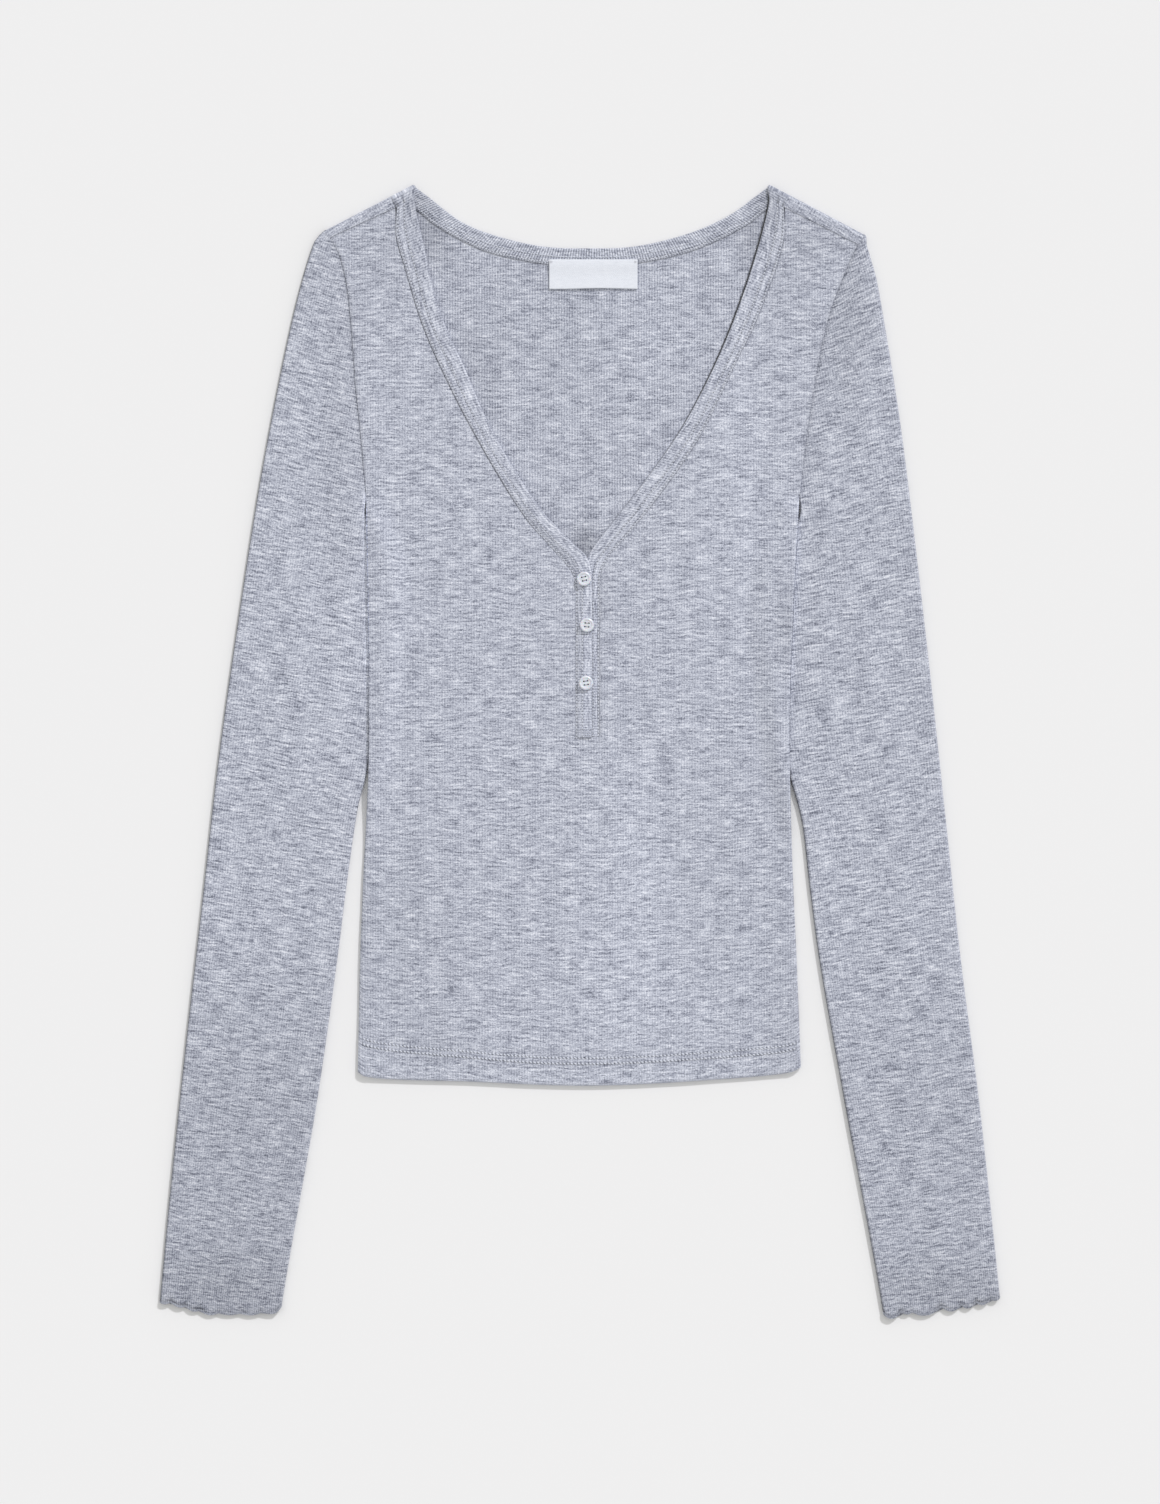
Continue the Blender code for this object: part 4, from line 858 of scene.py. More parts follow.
def button_material(name):
    """Pearly grey plastic, faintly clouded."""
    nodes = Nodes(name)
    x, y, z = nodes.object_place()
    cloud = nodes.noise((x, y), (0.35, 0.8), z, 3.0)
    colour = nodes.ramp(cloud, ((0.3, linear(206, 210, 219)), (0.7, linear(230, 233, 240))))
    nodes.bump(cloud, 0.00003)
    return nodes.finish(colour, nodes.scaled(cloud, 0.15, 0.25), {
        "Coat Weight": 0.25, "Coat Roughness": 0.2, "Subsurface Weight": 0.15,
        "Subsurface Scale": 0.001})


def label_material(name):
    """White satin-woven ribbon: fine warp lines crossed by a finer weft."""
    nodes = Nodes(name)
    u, v, _ = nodes.cloth_place()
    warp = nodes.wave("SINE", u, 0.42)
    weft = nodes.wave("SINE", nodes.sum(v, nodes.scaled(u, 0.5)), 0.36)
    weave = nodes.scaled(nodes.math("MULTIPLY", warp, weft), 0.25, 0.5)
    cloud = nodes.noise((u, v), (0.2, 0.9))
    value = nodes.sum(nodes.scaled(weave, 0.6), nodes.scaled(cloud, 0.4))
    colour = nodes.ramp(value, ((0.2, linear(217, 221, 231)), (0.75, linear(241, 244, 250))))
    nodes.bump(weave, 0.00008)
    return nodes.finish(colour, nodes.scaled(weave, 0.2, 0.5), {
        "Sheen Weight": 0.3, "Specular IOR Level": 0.4})


def floor_material(name):
    """Smooth pale paper."""
    nodes = Nodes(name)
    x, y, _ = nodes.object_place()
    cloud = nodes.noise((x, y), (0.01, 0.01))
    colour = nodes.ramp(cloud, ((0.0, PALE), (1.0, tuple(c * 1.004 for c in PALE))))
    return nodes.finish(colour, 0.95, {"Specular IOR Level": 0.1})


# ---- The body's panels ----


def hem_depth(x):
    """How deep the hem is turned: deeper towards the wearer's right side."""
    share = np.clip((HEM_DEEPER_FROM - x) / HEM_DEEPER_OVER, 0.0, HEM_DEEPER_MOST)
    return HEM_DEPTH + HEM_DEEPER * share ** HEM_DEEPER_BEND


def laid_height(x, y, from_fold, settles, folds):
    """The upper face of two layers: full height beside a folded edge, and settled inside it."""
    beside = ease(from_fold / PUFF)
    below = ease((below_shoulder(x, y) - settles) / SHOULDER_PUFF)
    height = FOLD_HEIGHT - (FOLD_HEIGHT - LAID_HEIGHT) * np.minimum(beside, below)
    return height + fold_relief(x, y, folds) * beside * below


def front_height(x, y):
    """The front's upper face, without its ribs."""
    inside = from_edge(x, y)
    height = laid_height(x, y, inside, FRONT_SETTLES, FRONT_FOLDS)
    height = height + HEM_STEP * between(y - hem_height(x) - hem_depth(x), HEM_STEP_WIDTH, 0.0)
    top, foot = SINK_HEIGHTS
    over_sleeve = between(y, *top) * between(y, *foot)
    height = height - EDGE_SINK * over_sleeve * ease(1 - inside / SINK_WIDTH)
    return height + lift(x, y)


def back_height(x, y):
    """The back's underside, which leaves the floor only over the sleeves."""
    return lift(x, y)


def painted_shading(x, y, spots):
    """How much broad soft spots of painted light and shade change the lightness."""
    total = np.zeros(np.broadcast(x, y).shape)
    for centre_x, centre_y, half_width, half_height, change in spots:
        near = ((x - centre_x) / half_width) ** 2 + ((y - centre_y) / half_height) ** 2
        total = total + change * np.exp(-near)
    return total


def painted_placket_shade(x, y):
    """A dark, slightly uneven line of painted shade along each long side of the placket."""
    total = 0.0
    wander = PLACKET_WANDER * np.sin(y / PLACKET_WAVE)
    for side, dark in PLACKET_PAINTED_SHADE.items():
        total = total + dark * soft_line(x - NECK[side].points[-1][0] - wander, PLACKET_LINE_WIDTH)
    return total * between(y, *PLACKET_LINE_TOP) * between(y, SLIT_FOOT - 1.0, SLIT_FOOT + 1.0)


def painted_armhole_shade(side, x, y, dark, width):
    """How dark the painted shade along the armhole's seam is."""
    near = soft_line(x - ARMHOLE[side].x_at(y), width)
    return dark * near * between(y, UNDERARM[side][1] - 5, ARMHOLE_LINE_TOP)


def lit_underarm(side, y):
    """How much painted light is added at a height below the underarm, from 0 to 1."""
    return between(y, 10, 60) * between(y, UNDERARM[side][1] + 3, UNDERARM[side][1] - 6)


def body_tone(x, y):
    """Lightness of the body: broad painted light and shade, and painted shade at its seams, along
    the placket and between the hem's stitches.
    """
    tone = 1.0 + painted_shading(x, y, BODY_PAINTED_SHADING) - painted_placket_shade(x, y)
    dark, width = SHOULDER_PAINTED_SHADE
    for side in SIDES:
        tone = tone - painted_armhole_shade(side, x, y, *ARMHOLE_PAINTED_SHADE)
        on_shoulder = (x - NECK[side].points[0, 0]) * INWARDS[side] < 0
        tone = tone - dark * soft_line(front_top(side, x) - y, width) * on_shoulder
    start, end = HEM_STITCH_ENDS
    gaps = 0.5 + 0.5 * np.cos(2 * math.pi * HEM_STITCHES * (x - start) / (end - start))
    row, gap, width = HEM_DIMPLE_PAINTED_SHADE
    # Painted shade in the dimples between the hem's stitches
    for rise in HEM_STITCH_RISES:
        near = soft_line(y - hem_height(x) - hem_depth(x) - rise, width)
        tone = tone - (row + gap * gaps ** 2) * near * ((x > start) & (x < end))
    return tone


def aligned(low, high):
    """Column places at quarter ribs, within the limits."""
    return np.arange(math.ceil(low / STEP - 0.001), math.floor(high / STEP + 0.001) + 1) * STEP


def front_top(side, x):
    """The front's upper boundary: the shoulder's seam, then the neckline's."""
    outer = ARMHOLE[side].at(SEAM_AT_ARM[side])
    corner = NECK[side].points[0]
    line = outer[1] + (x - outer[0]) * (corner[1] - outer[1]) / (corner[0] - outer[0])
    points = NECK[side].points
    inwards = points[:, 0] * INWARDS[side]
    start = int(np.argmin(inwards))
    neck = np.interp(x * INWARDS[side], inwards[start:], points[start:, 1])
    return np.where(x * INWARDS[side] < inwards[start], line, neck)


def fold_line(side, x, below=0.0):
    """The height of a line beside the shoulder's fold at x."""
    start = below_fold(side, NECK_POINT[side], below)
    slope = (SHOULDER_POINT[side][1] - NECK_POINT[side][1]) / (
        SHOULDER_POINT[side][0] - NECK_POINT[side][0])
    return start[1] + (x - start[0]) * slope


def back_top(x):
    """The upper boundary of the back's flat part."""
    seam = np.interp(x, BACK_SEAM.points[:, 0], BACK_SEAM.points[:, 1])
    found = np.where(x < MIDDLE, fold_line("right", x, RADIUS), fold_line("left", x, RADIUS))
    inside = (x > BACK_SEAM.points[0, 0]) & (x < BACK_SEAM.points[-1, 0])
    return np.where(inside, seam, found)


def rib_rows(bottom, top, count):
    """Heights of rows from the bottom to the top boundary, closer together at the seam."""
    shares = np.linspace(0.0, 1.0, count)[:, None]
    rows = bottom + (top - SEAM_ROWS[0] - bottom) * shares[:-1]
    return np.vstack([rows] + [top - end for end in SEAM_ROWS])


def seam_drops(rows):
    """How far each row of a panel sinks towards the seam at its top."""
    return np.concatenate([np.zeros(rows - len(SEAM_DROPS)), SEAM_DROPS])[:, None]


def add_upper(cloth, columns, top, height, count, ribs_up):
    """The part of a panel above the foot of the slit."""
    y = rib_rows(SLIT_FOOT, top(columns), count)
    x = np.broadcast_to(columns, y.shape)
    z = height(x, y) + ribs_up * groove(x / PITCH) - seam_drops(len(y)) * ribs_up
    cloth.grid(x, y, z, x, y, body_tone(x, y), ribs_up > 0)


def course_sag(x, y):
    """How far the knitted courses hang below level, as the hem does."""
    return (hem_height(x) - HEM_LOWEST) * between(y, *SAG_HEIGHTS)


def hem_rises(x):
    """How far above the hem's edge its rows lie, closest together at the two rows of stitches."""
    rises = np.array(HEM_RISES)[:, None]
    return rises + (hem_depth(x) - HEM_DEPTH) * between(rises, HEM_RISES[-1], HEM_RISES[-4])


def add_lower(cloth, columns, height, count, ribs_up):
    """The part of a panel from the foot of the slit down, with the hem turned under."""
    shares = np.linspace(0.0, 1.0, count)[:-1, None]
    hem = hem_height(columns)
    rises = hem_rises(columns)
    y = np.vstack([SLIT_FOOT + (hem + rises[0] - SLIT_FOOT) * shares, hem + rises])
    z = height(np.broadcast_to(columns, y.shape), y) + ribs_up * groove(columns / PITCH)
    turned_y, turned_z = zip(*hem_rows(columns, hem, height, ribs_up))
    v = np.vstack([y] + [y[-1] - HEM_ROLL_STEP * (step + 1) for step in range(len(turned_y))])
    y, z = np.vstack([y, *turned_y]), np.vstack([z, *turned_z])
    x = np.broadcast_to(columns, y.shape)
    cloth.grid(x, y, z, x, v - course_sag(x, y), body_tone(x, y), ribs_up > 0)


def hem_rows(columns, hem, height, ribs_up):
    """Rows round the hem's edge and under it, as (y, z)."""
    relief = groove(columns / PITCH)
    z = height(columns, hem + HEM_ROLL_FROM)
    for rise, drop, facing in HEM_ROLL:
        yield hem + rise - relief * facing, z + ribs_up * (relief * (1 - facing) - drop)


def add_arm_side(cloth, side, top, height, count, ribs_up):
    """The part beside the armhole, whose columns end at its seam."""
    points = ARMHOLE[side].points
    limit = points[0][0] if ribs_up < 0 else ARMHOLE[side].at(SEAM_AT_ARM[side])[0]
    columns = aligned(*sorted((SIDE_COLUMN[side], float(limit))))
    foot = np.interp(columns * INWARDS[side], points[:, 0] * INWARDS[side], points[:, 1])
    upper = top(columns)
    foot = np.minimum(foot, upper - ARM_LEAST)
    ends = np.minimum(1.0, (upper - foot) / ARM_FADE)
    rows = foot + np.array(ARM_ROWS)[:, None] * ends
    finish = np.array(SEAM_ROWS)[:, None] * ends
    low, high = rows[-1], upper - finish[0]
    middle = np.linspace(0, 1, count)[1:-1, None]
    y = np.vstack([rows, low + (high - low) * middle, upper - finish])
    x = np.broadcast_to(columns, y.shape)
    inside = np.maximum(0.0, (x - ARMHOLE[side].x_at(y)) * INWARDS[side])
    at_seam = between(foot, UNDERARM[side][1], UNDERARM[side][1] + 3.0)
    drop = SEAM_DEPTH * np.exp(-inside / SEAM_WIDTH) * at_seam
    drop[0] += SEAM_WALL * at_seam
    drops = np.maximum(seam_drops(len(y)), drop) * ribs_up
    z = height(x, y) + ribs_up * groove(x / PITCH) - drops
    cloth.grid(x, y, z, x, y, body_tone(x, y), ribs_up > 0)


def add_side_edge(cloth, side, height, count, ribs_up):
    """The narrow part beside the side edge, below the underarm, rolled to the side's seam."""
    start, top = SIDE_COLUMN[side], UNDERARM[side][1]
    corner = BODY_SIDE[side].points[-1][1]
    rises = hem_rises(start)[:, 0]

    def heights(foot):
        above = np.linspace(top, foot + rises[0], count)[:-1]
        return np.concatenate([above, foot + rises, [foot + rise for rise in EDGE_ENDS]])
    levels, inner = heights(corner), heights(hem_height(start))
    edge = edge_x(side, np.minimum(levels, top - 0.01))
    curl = between(levels, top, top - EDGE_CURL)[:, None, None]
    rolled, unrolled = np.array(ROLLED), np.array(UNROLLED)
    inwards, drops = np.moveaxis(unrolled + (rolled - unrolled) * curl, -1, 0)
    width = np.abs(edge - start)[:, None]
    inwards = np.minimum(inwards, width)
    shares = np.linspace(0.0, 1.0, EDGE_COLUMNS + 1)[None, 1:]
    rest = inwards[:, -1:] + (width - inwards[:, -1:]) * shares
    distance = np.hstack([inwards, rest])
    drop = np.hstack([drops, np.zeros(rest.shape)])
    x = edge[:, None] + INWARDS[side] * distance
    y = levels[:, None] + (inner - levels)[:, None] * distance / width
    on_hem = y < hem_height(x) + rises[0]
    y = np.where(on_hem, hem_height(x) + (levels - corner)[:, None], y)
    z = height(x, y) + ribs_up * (groove(x / PITCH) - drop)
    # Painted light where the body's edge lies on the sleeve
    light = UNDERARM_LIGHT[side] * near_edge(distance * 1.4) * lit_underarm(side, y)
    tone = body_tone(x, y) + light
    down, apart = HEM_CLOSES
    middle = np.full((1, x.shape[1]), RADIUS + apart * ribs_up)
    x, tone = (np.vstack([part, part[-1:]]) for part in (x, tone))
    y, z = np.vstack([y, y[-1:] - down]), np.vstack([z, middle])
    cloth.grid(x, y, z, x, y - course_sag(x, y), tone, ribs_up > 0)


def make_front(knit):
    cloth = Cloth()
    above, beside, edge, below = FRONT_ROWS
    slit = {side: float(NECK[side].points[-1][0]) for side in SIDES}
    right = np.append(aligned(SIDE_COLUMN["right"] - 0.1, slit["right"] - 0.1), slit["right"])
    left = np.append(slit["left"], aligned(slit["left"] + 0.1, SIDE_COLUMN["left"] + 0.1))
    middle = aligned(slit["right"] + 0.1, slit["left"] - 0.1)
    for side, columns in (("right", right), ("left", left)):
        def neckline(x, side=side):
            return front_top(side, x)

        def top(x, side=side):
            return np.where(np.abs(x - slit[side]) < 0.01, KNEE, front_top(side, x))
        add_upper(cloth, columns, top, front_height, above, 1)
        add_arm_side(cloth, side, neckline, front_height, beside, 1)
        add_side_edge(cloth, side, front_height, edge, 1)
    add_lower(cloth, np.concatenate([right, middle, left]), front_height, below, 1)
    piece = cloth.make("front_panel", knit, "rib_knit")
    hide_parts("front")
    return piece


def wrap_over(cloth, side):
    """The back's cloth over the shoulder's fold, to the seam on the front."""
    start = ARMHOLE[side].points[0][0]
    end = BACK_SEAM.points[0 if side == "right" else -1][0] + INWARDS[side] * WRAP_UNDER_STRIP
    columns = aligned(*sorted((float(start), float(end))))
    nx, ny = fold_normal(side)
    base_x, base_y = columns, fold_line(side, columns, RADIUS)
    share = np.abs(columns - start) / abs(end - start)
    down = SEAM_AT_ARM[side] + (SEAM_AT_NECK[side] - SEAM_AT_ARM[side]) * share - RADIUS
    relief = groove(columns / PITCH) * WRAP_RELIEF
    rows = []
    for angle in np.radians(np.linspace(0, 180, WRAP_ROWS)):
        out = (RADIUS + relief) * math.sin(angle)
        rows.append((base_x + nx * out, base_y + ny * out,
                     RADIUS - (RADIUS + relief) * math.cos(angle),
                     base_y * WRAP_SLANT + RADIUS * angle))
    for inset, drop in ((down / 2, 0.0), (0.6, 0.14), (0.0, SEAM_DEPTH), (0.0, 1.1)):
        rows.append((base_x - nx * (down - inset), base_y - ny * (down - inset),
                     FOLD_HEIGHT + relief - drop,
                     base_y * WRAP_SLANT + RADIUS * math.pi + down - inset))
    x, y, z, v = (np.array(values) for values in zip(*rows))
    tone = np.full(x.shape, WRAP_TONE)
    # Painted shade on the last two rows, which go down into the seam
    tone[-2:] = WRAP_TONE * WRAP_END_TONE
    cloth.grid(x, y, z, columns, v, tone, True)


def back_inside(cloth):
    """The inner face of the back, where the neckline shows it."""
    ends = (NECK["right"].points[:, 0].min(), NECK["left"].points[:, 0].max())
    columns = aligned(ends[0] - INSIDE_MARGIN, ends[1] + INSIDE_MARGIN)
    right, left = INSIDE_PLACKET
    side_top = np.where(columns < MIDDLE, front_top("right", np.minimum(columns, right)),
                        front_top("left", np.maximum(columns, left)))
    top = back_top(columns)
    for side in SIDES:
        top = np.minimum(top, fold_line(side, columns, INSIDE_BELOW_FOLD))
    in_placket = (columns > right) & (columns < left)
    foot = np.where(in_placket, INSIDE_FOOT, side_top - INSIDE_HIDDEN)
    y = rib_rows(np.minimum(foot, top - INSIDE_LEAST), top, INSIDE_ROWS)
    x = np.broadcast_to(columns, y.shape)
    z = CLOTH + groove(x / PITCH + 0.5, INSIDE_GROOVE) + fold_relief(x, y, BACK_FOLDS) * 0.5
    lighter, width = INSIDE_LIGHT
    beside = np.maximum(FREE["left"].x_at(y) - x, 0.0)
    tone = INSIDE_TONE + painted_shading(x, y, INSIDE_PAINTED_SHADING)
    # Painted light on the back's inner face beside the strip's free edge
    tone = tone + lighter * np.exp(-beside / width) * between(y, *INSIDE_LIGHT_HEIGHTS)
    cloth.grid(x, y, z, x + INSIDE_SHIFT, y, tone, True, part=1)


def make_back(knit, inside):
    cloth = Cloth()
    above, beside, edge, below = BACK_ROWS
    columns = aligned(SIDE_COLUMN["right"] - 0.1, SIDE_COLUMN["left"] + 0.1)
    add_upper(cloth, columns, back_top, back_height, above, -1)
    for side in SIDES:
        add_arm_side(cloth, side, back_top, back_height, beside, -1)
        add_side_edge(cloth, side, back_height, edge, -1)
        wrap_over(cloth, side)
    add_lower(cloth, columns, back_height, below, -1)
    back_inside(cloth)
    piece = cloth.make("back_panel", knit, "rib_knit", inside)
    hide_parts("back")
    return piece


# ---- Sleeves ----


def reach_x(side, y):
    y = np.asarray(y, float)
    return np.where(y < REACH_HEIGHT, INNER[side].x_at(y), REACH[side].x_at(y))


def rib_share(side, x, y):
    """How far across the sleeve a point lies, counted in its ribs, from 0 to 1."""
    width = np.abs(reach_x(side, y) - OUTER[side].x_at(y))
    inside = np.maximum(0.0, (x - OUTER[side].x_at(y)) * INWARDS[side])
    arc = np.where(inside < RADIUS, RADIUS * np.arccos(np.clip(1 - inside / RADIUS, -1, 1)),
                   inside + ARC_GAIN)
    return arc / (width + 2 * ARC_GAIN)


def sleeve_tops(side, shares):
    """The height at which each column of the sleeve ends."""
    armhole = ARMHOLE[side].at(np.linspace(0, ARMHOLE[side].length, 160))
    levels = np.linspace(UNDERARM[side][1], REACH_HEIGHT, 60)[1:]
    x = np.concatenate([armhole[:, 0], INNER[side].x_at(levels)])
    y = np.concatenate([armhole[:, 1], levels])
    found = np.maximum.accumulate(rib_share(side, x, y))
    found[-1] = 1.0
    return np.interp(shares, found, y)


def lobe_depth(side, shares):
    total = np.zeros(shares.shape)
    for centre, width, depth in LOBES[side]:
        near = np.clip((shares - centre) / width, -0.5, 0.5)
        total = np.maximum(total, depth * np.cos(math.pi * near) ** 0.8)
    return total


def painted_cuff_crease_shade(side, shares):
    """How dark the painted shade of the edge's drawn-in crease is along the cuff."""
    total = np.full(shares.shape, CREASE_LEAST)
    for centre, width, dark in CUFF_CREASE_PAINTED_SHADE[side]:
        total = total + dark * soft_line(shares - centre, width)
    return total


def sleeve_lean(side, y):
    """The courses' slope across the sleeve, steeper towards the cap."""
    return np.tan(np.radians(np.interp(y, LEAN_HEIGHTS, LEANS[side]))) * INWARDS[side]


def sleeve_tone(side, x, y):
    """Lightness of a sleeve: darker towards the cuff, with broad painted light and shade, painted
    shade beside the armhole's seam and painted light beside the body's edge.
    """
    darker = SLEEVE_DARKENS[side] * between(y, *SLEEVE_DARKENS_OVER)
    tone = SLEEVE_TONE - darker + painted_shading(x, y, SLEEVE_PAINTED_SHADING[side])
    tone = tone - painted_armhole_shade(side, x, y, *SLEEVE_HEAD_PAINTED_SHADE)
    # Painted light where the body's edge lies on the sleeve
    near = soft_line(x - BODY_SIDE[side].x_at(y), UNDERARM_LIGHT_WIDTH)
    return tone + UNDERARM_LIGHT[side] * near * lit_underarm(side, y)


def rolled_in(arc):
    """How far inside a folded edge a point lies, from its distance round the roll."""
    return RADIUS * (1 - np.cos(np.minimum(arc, QUARTER_ARC) / RADIUS))


def sleeve_layer(side, upper):
    """Points and marks of one layer of a sleeve."""
    shares = np.arange(SLEEVE_RIBS * 4 + 1) / (SLEEVE_RIBS * 4)
    outer_end, inner_end = OUTER[side].points[-1][1], INNER[side].points[-1][1]
    bow = np.interp(shares, *zip(*CUFF_BOW[side]))
    depth = lobe_depth(side, shares if upper else np.clip(shares + UNDER_LIP["shift"], 0, 1))
    cuff = outer_end + (inner_end - outer_end) * shares - bow
    cuff = cuff - depth * (1.0 if upper else UNDER_LIP["depth"])
    tops = sleeve_tops(side, shares)
    end_rows = np.array(SLEEVE_END_ROWS)[:, None]
    low, high = cuff + CUFF_RISES[-1] + 4.0, tops - end_rows[0]
    middle = np.linspace(0.0, 1.0, SLEEVE_ROWS["upper" if upper else "under"] + 1)[:-1, None]
    y = np.vstack([cuff + np.array(CUFF_RISES)[:, None], low + (high - low) * middle,
                   tops - end_rows])
    held = np.clip(y, inner_end, OUTER[side].points[0][1])
    outer = OUTER[side].x_at(held)
    width = np.abs(reach_x(side, held) - outer)
    arc = shares * (width + 2 * ARC_GAIN)
    rest = (width + 2 * ARC_GAIN) - arc
    inside = np.where(arc < QUARTER_ARC, rolled_in(arc), arc - ARC_GAIN)
    inside = np.where(rest < QUARTER_ARC, width - rolled_in(rest), inside)
    return shares, outer + INWARDS[side] * inside, y, inside, depth, cuff


def near_edge(distance):
    """How upright the surface stands at a distance from a folded edge, from 1 to 0."""
    return np.clip(1 - np.maximum(distance, 0.0) / RADIUS, 0.0, 1.0)


def cuff_tone(side, tone, shares, above, near_cuff, depth):
    """A sleeve's lightness near its cuff: painted shade in the notches and the drawn-in crease, a
    painted highlight at the edge, and painted shade between the ribs.
    """
    notch = 1 - depth / max(lobe[2] for lobe in LOBES[side])
    # Painted shade in the notches between the lobes, and a painted highlight on the edge
    tone = tone * (1 - NOTCH_PAINTED_SHADE * near_cuff * notch) + CUFF_EDGE_PAINTED_LIGHT * near_cuff ** 4
    # Painted shade along the edge's drawn-in crease
    tone = tone - soft_line(above - CREASE_RISE, CREASE_WIDTH) * painted_cuff_crease_shade(side, shares)
    # Painted shade between the ribs near the cuff
    ribbed = between(above, *CUFF_RIBS_OVER)
    return tone + CUFF_RIB_PAINTED_SHADE * ribbed * np.cos(2 * math.pi * SLEEVE_RIBS * shares)


def add_sleeve_layer(cloth, side, upper):
    shares, x, y, inside, depth, cuff = sleeve_layer(side, upper)
    to_inner = (INNER[side].x_at(y) - x) * INWARDS[side]
    closed = between(y, UNDERARM[side][1] + 1.0, UNDERARM[side][1] - 5.0)
    upright_out = near_edge(inside)
    upright_in = near_edge(to_inner) * closed
    upright = np.maximum(upright_out, upright_in)
    swell = np.sqrt(1 - upright ** 2)
    from_fold = np.minimum(inside, np.maximum(to_inner, 0.0) + 30 * (1 - closed)) - RADIUS
    height = laid_height(x, y, from_fold, SLEEVE_SETTLES, SLEEVE_FOLDS[side])
    seam = np.maximum(0.0, (ARMHOLE[side].x_at(y) - x) * INWARDS[side])
    seam_drop = SEAM_DEPTH * np.exp(-seam / SEAM_WIDTH) * (1 - closed)
    near_cuff = np.clip(1 - (y - cuff) / SETTLED_CUFF, 0.0, 1.0) ** 1.6
    wave = near_cuff * (1 - upright) * depth * LOBE_RISE
    closing = near_cuff * (1 - upright)
    relief = groove(shares * SLEEVE_RIBS, SLEEVE_GROOVE) * (1 - 0.6 * near_cuff)
    sideways = relief * upright * np.where(upright_out > upright_in, -1, 1) * INWARDS[side]
    if upper:
        z = RADIUS + (height - RADIUS) * swell + relief * swell - seam_drop + wave
        z = z - LIPS_CLOSE["upper"] * closing
        z[-1] -= SEAM_WALL * (1 - closed[-1])
    else:
        z = RADIUS - RADIUS * swell - relief * swell + wave * UNDER_LIP["wave"]
        z = z + LIPS_CLOSE["under"] * closing
    u = shares * SLEEVE_RIBS * SLEEVE_PITCH * (1 if upper else -1)
    middle = (OUTER[side].x_at(y) + reach_x(side, y)) / 2
    v = y + (x - middle) * sleeve_lean(side, y)
    # Painted shade on each sleeve's folded edge that faces away from the key light
    shaded = upright_out if side == "right" else upright_in
    tone = sleeve_tone(side, x, y) * (1 - FOLDED_EDGE_PAINTED_SHADE * ease(shaded * 1.4 - 0.4))
    tone = cuff_tone(side, tone, shares, y - cuff, near_cuff, depth)
    cloth.grid(x + sideways, y, z, u, v, tone, upper)
    return np.stack([x[0], y[0], z[0]], axis=1)


def make_sleeve(side, knit):
    cloth = Cloth()
    edges = [add_sleeve_layer(cloth, side, upper) for upper in (True, False)]
    piece = cloth.make("sleeve_%s_cloth" % side, knit, "rib_knit")
    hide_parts("sleeve_" + side)
    return piece, edges


# ---- Neck binding ----


def strip_under(side, y, distance, share):
    """How high the strip's underside lies on the front."""
    over_fold = 2 * STRIP_RADIUS - STRIP
    under = over_fold + (STRIP_REST - over_fold) * ease(distance / STRIP_SETTLES)
    if side == "right":
        climb = (STRIP_OVER_SLIT - STRIP_REST) * between(y, *STRIP_CLIMBS)
        return under + climb * ease(share / STRIP_RAMP)
    begins, full, fades, ends = EDGE_ROLL_HEIGHTS
    standing = EDGE_ROLL * between(y, begins, full) * between(y, ends, fades)
    return under + standing * share ** 2


def strip_front(side):
    """Seam points, free points, thickness, underside and normal of stations down the front."""
    neck, free = NECK[side], FREE[side]
    start = math.dist(neck.points[0], below_fold(side, STRIP_CORNER[side], STRIP_RADIUS))
    distance = np.linspace(0.0, neck.length, int(neck.length / STRIP_SPACING) + 1)
    y = neck.at(distance)[:, 1]
    seam = neck.at(distance)
    knee, free_knee = neck.distance_at_height(KNEE), free.distance_at_height(KNEE)
    edge = free.at(free_knee * (start + distance) / (start + knee))
    straight = y <= KNEE
    edge[straight, 0] = free.x_at(y[straight])
    edge[straight, 1] = seam[straight, 1]
    thickness = STRIP - (STRIP - STRIP_AT_SLIT) * between(y, *STRIP_THINS)
    under = strip_under(side, y[:, None], (start + distance)[:, None], STRIP_SHARES[None])
    normal = np.tile((0.0, 0.0, 1.0), (len(y), 1))
    return [seam, edge, thickness, under, normal]


def strip_fold(side, count=9):
    """The same round the shoulder's fold."""
    seam = np.array(below_fold(side, STRIP_CORNER[side], STRIP_RADIUS))
    edge = np.array(below_fold(side, NECK_POINT[side], STRIP_RADIUS))
    angle = np.linspace(0, math.pi, count)[:, None]
    out = np.array(fold_normal(side))
    offset = out * (STRIP_RADIUS - STRIP) * np.sin(angle)
    normal = np.hstack([out * np.sin(angle), np.cos(angle)])
    under = np.tile(STRIP_RADIUS + (STRIP_RADIUS - STRIP) * np.cos(angle), len(STRIP_SHARES))
    return [seam + offset, edge + offset, np.full(count, STRIP), under, normal]


def strip_back():
    """The same along the back neck."""
    corners = [below_fold(side, NECK_POINT[side], STRIP_RADIUS) for side in SIDES]
    free = Curve((corners[0],) + FREE_BACK + (corners[1],))
    count = int(BACK_SEAM.length / STRIP_SPACING)
    share = np.linspace(0.0, 1.0, count + 2)[1:-1]
    seam = BACK_SEAM.at(share * BACK_SEAM.length)
    edge = free.at(share * free.length)
    under = np.full((len(share), len(STRIP_SHARES)), STRIP)
    normal = np.tile((0.0, 0.0, -1.0), (len(share), 1))
    return [seam, edge, np.full(len(share), STRIP), under, normal]


def strip_relief(shares, along):
    """The strip's surface: crosswise ribs, and a shallow channel under each row of stitches."""
    ribs = groove(along / PITCH)[:, None] * 0.75 * np.minimum(1, shares[None] / 0.05 + 0.2)
    channels = sum(soft_line(shares - place, 0.03) for place in STITCH_SHARES)
    return ribs - STRIP_GROOVE * channels[None]


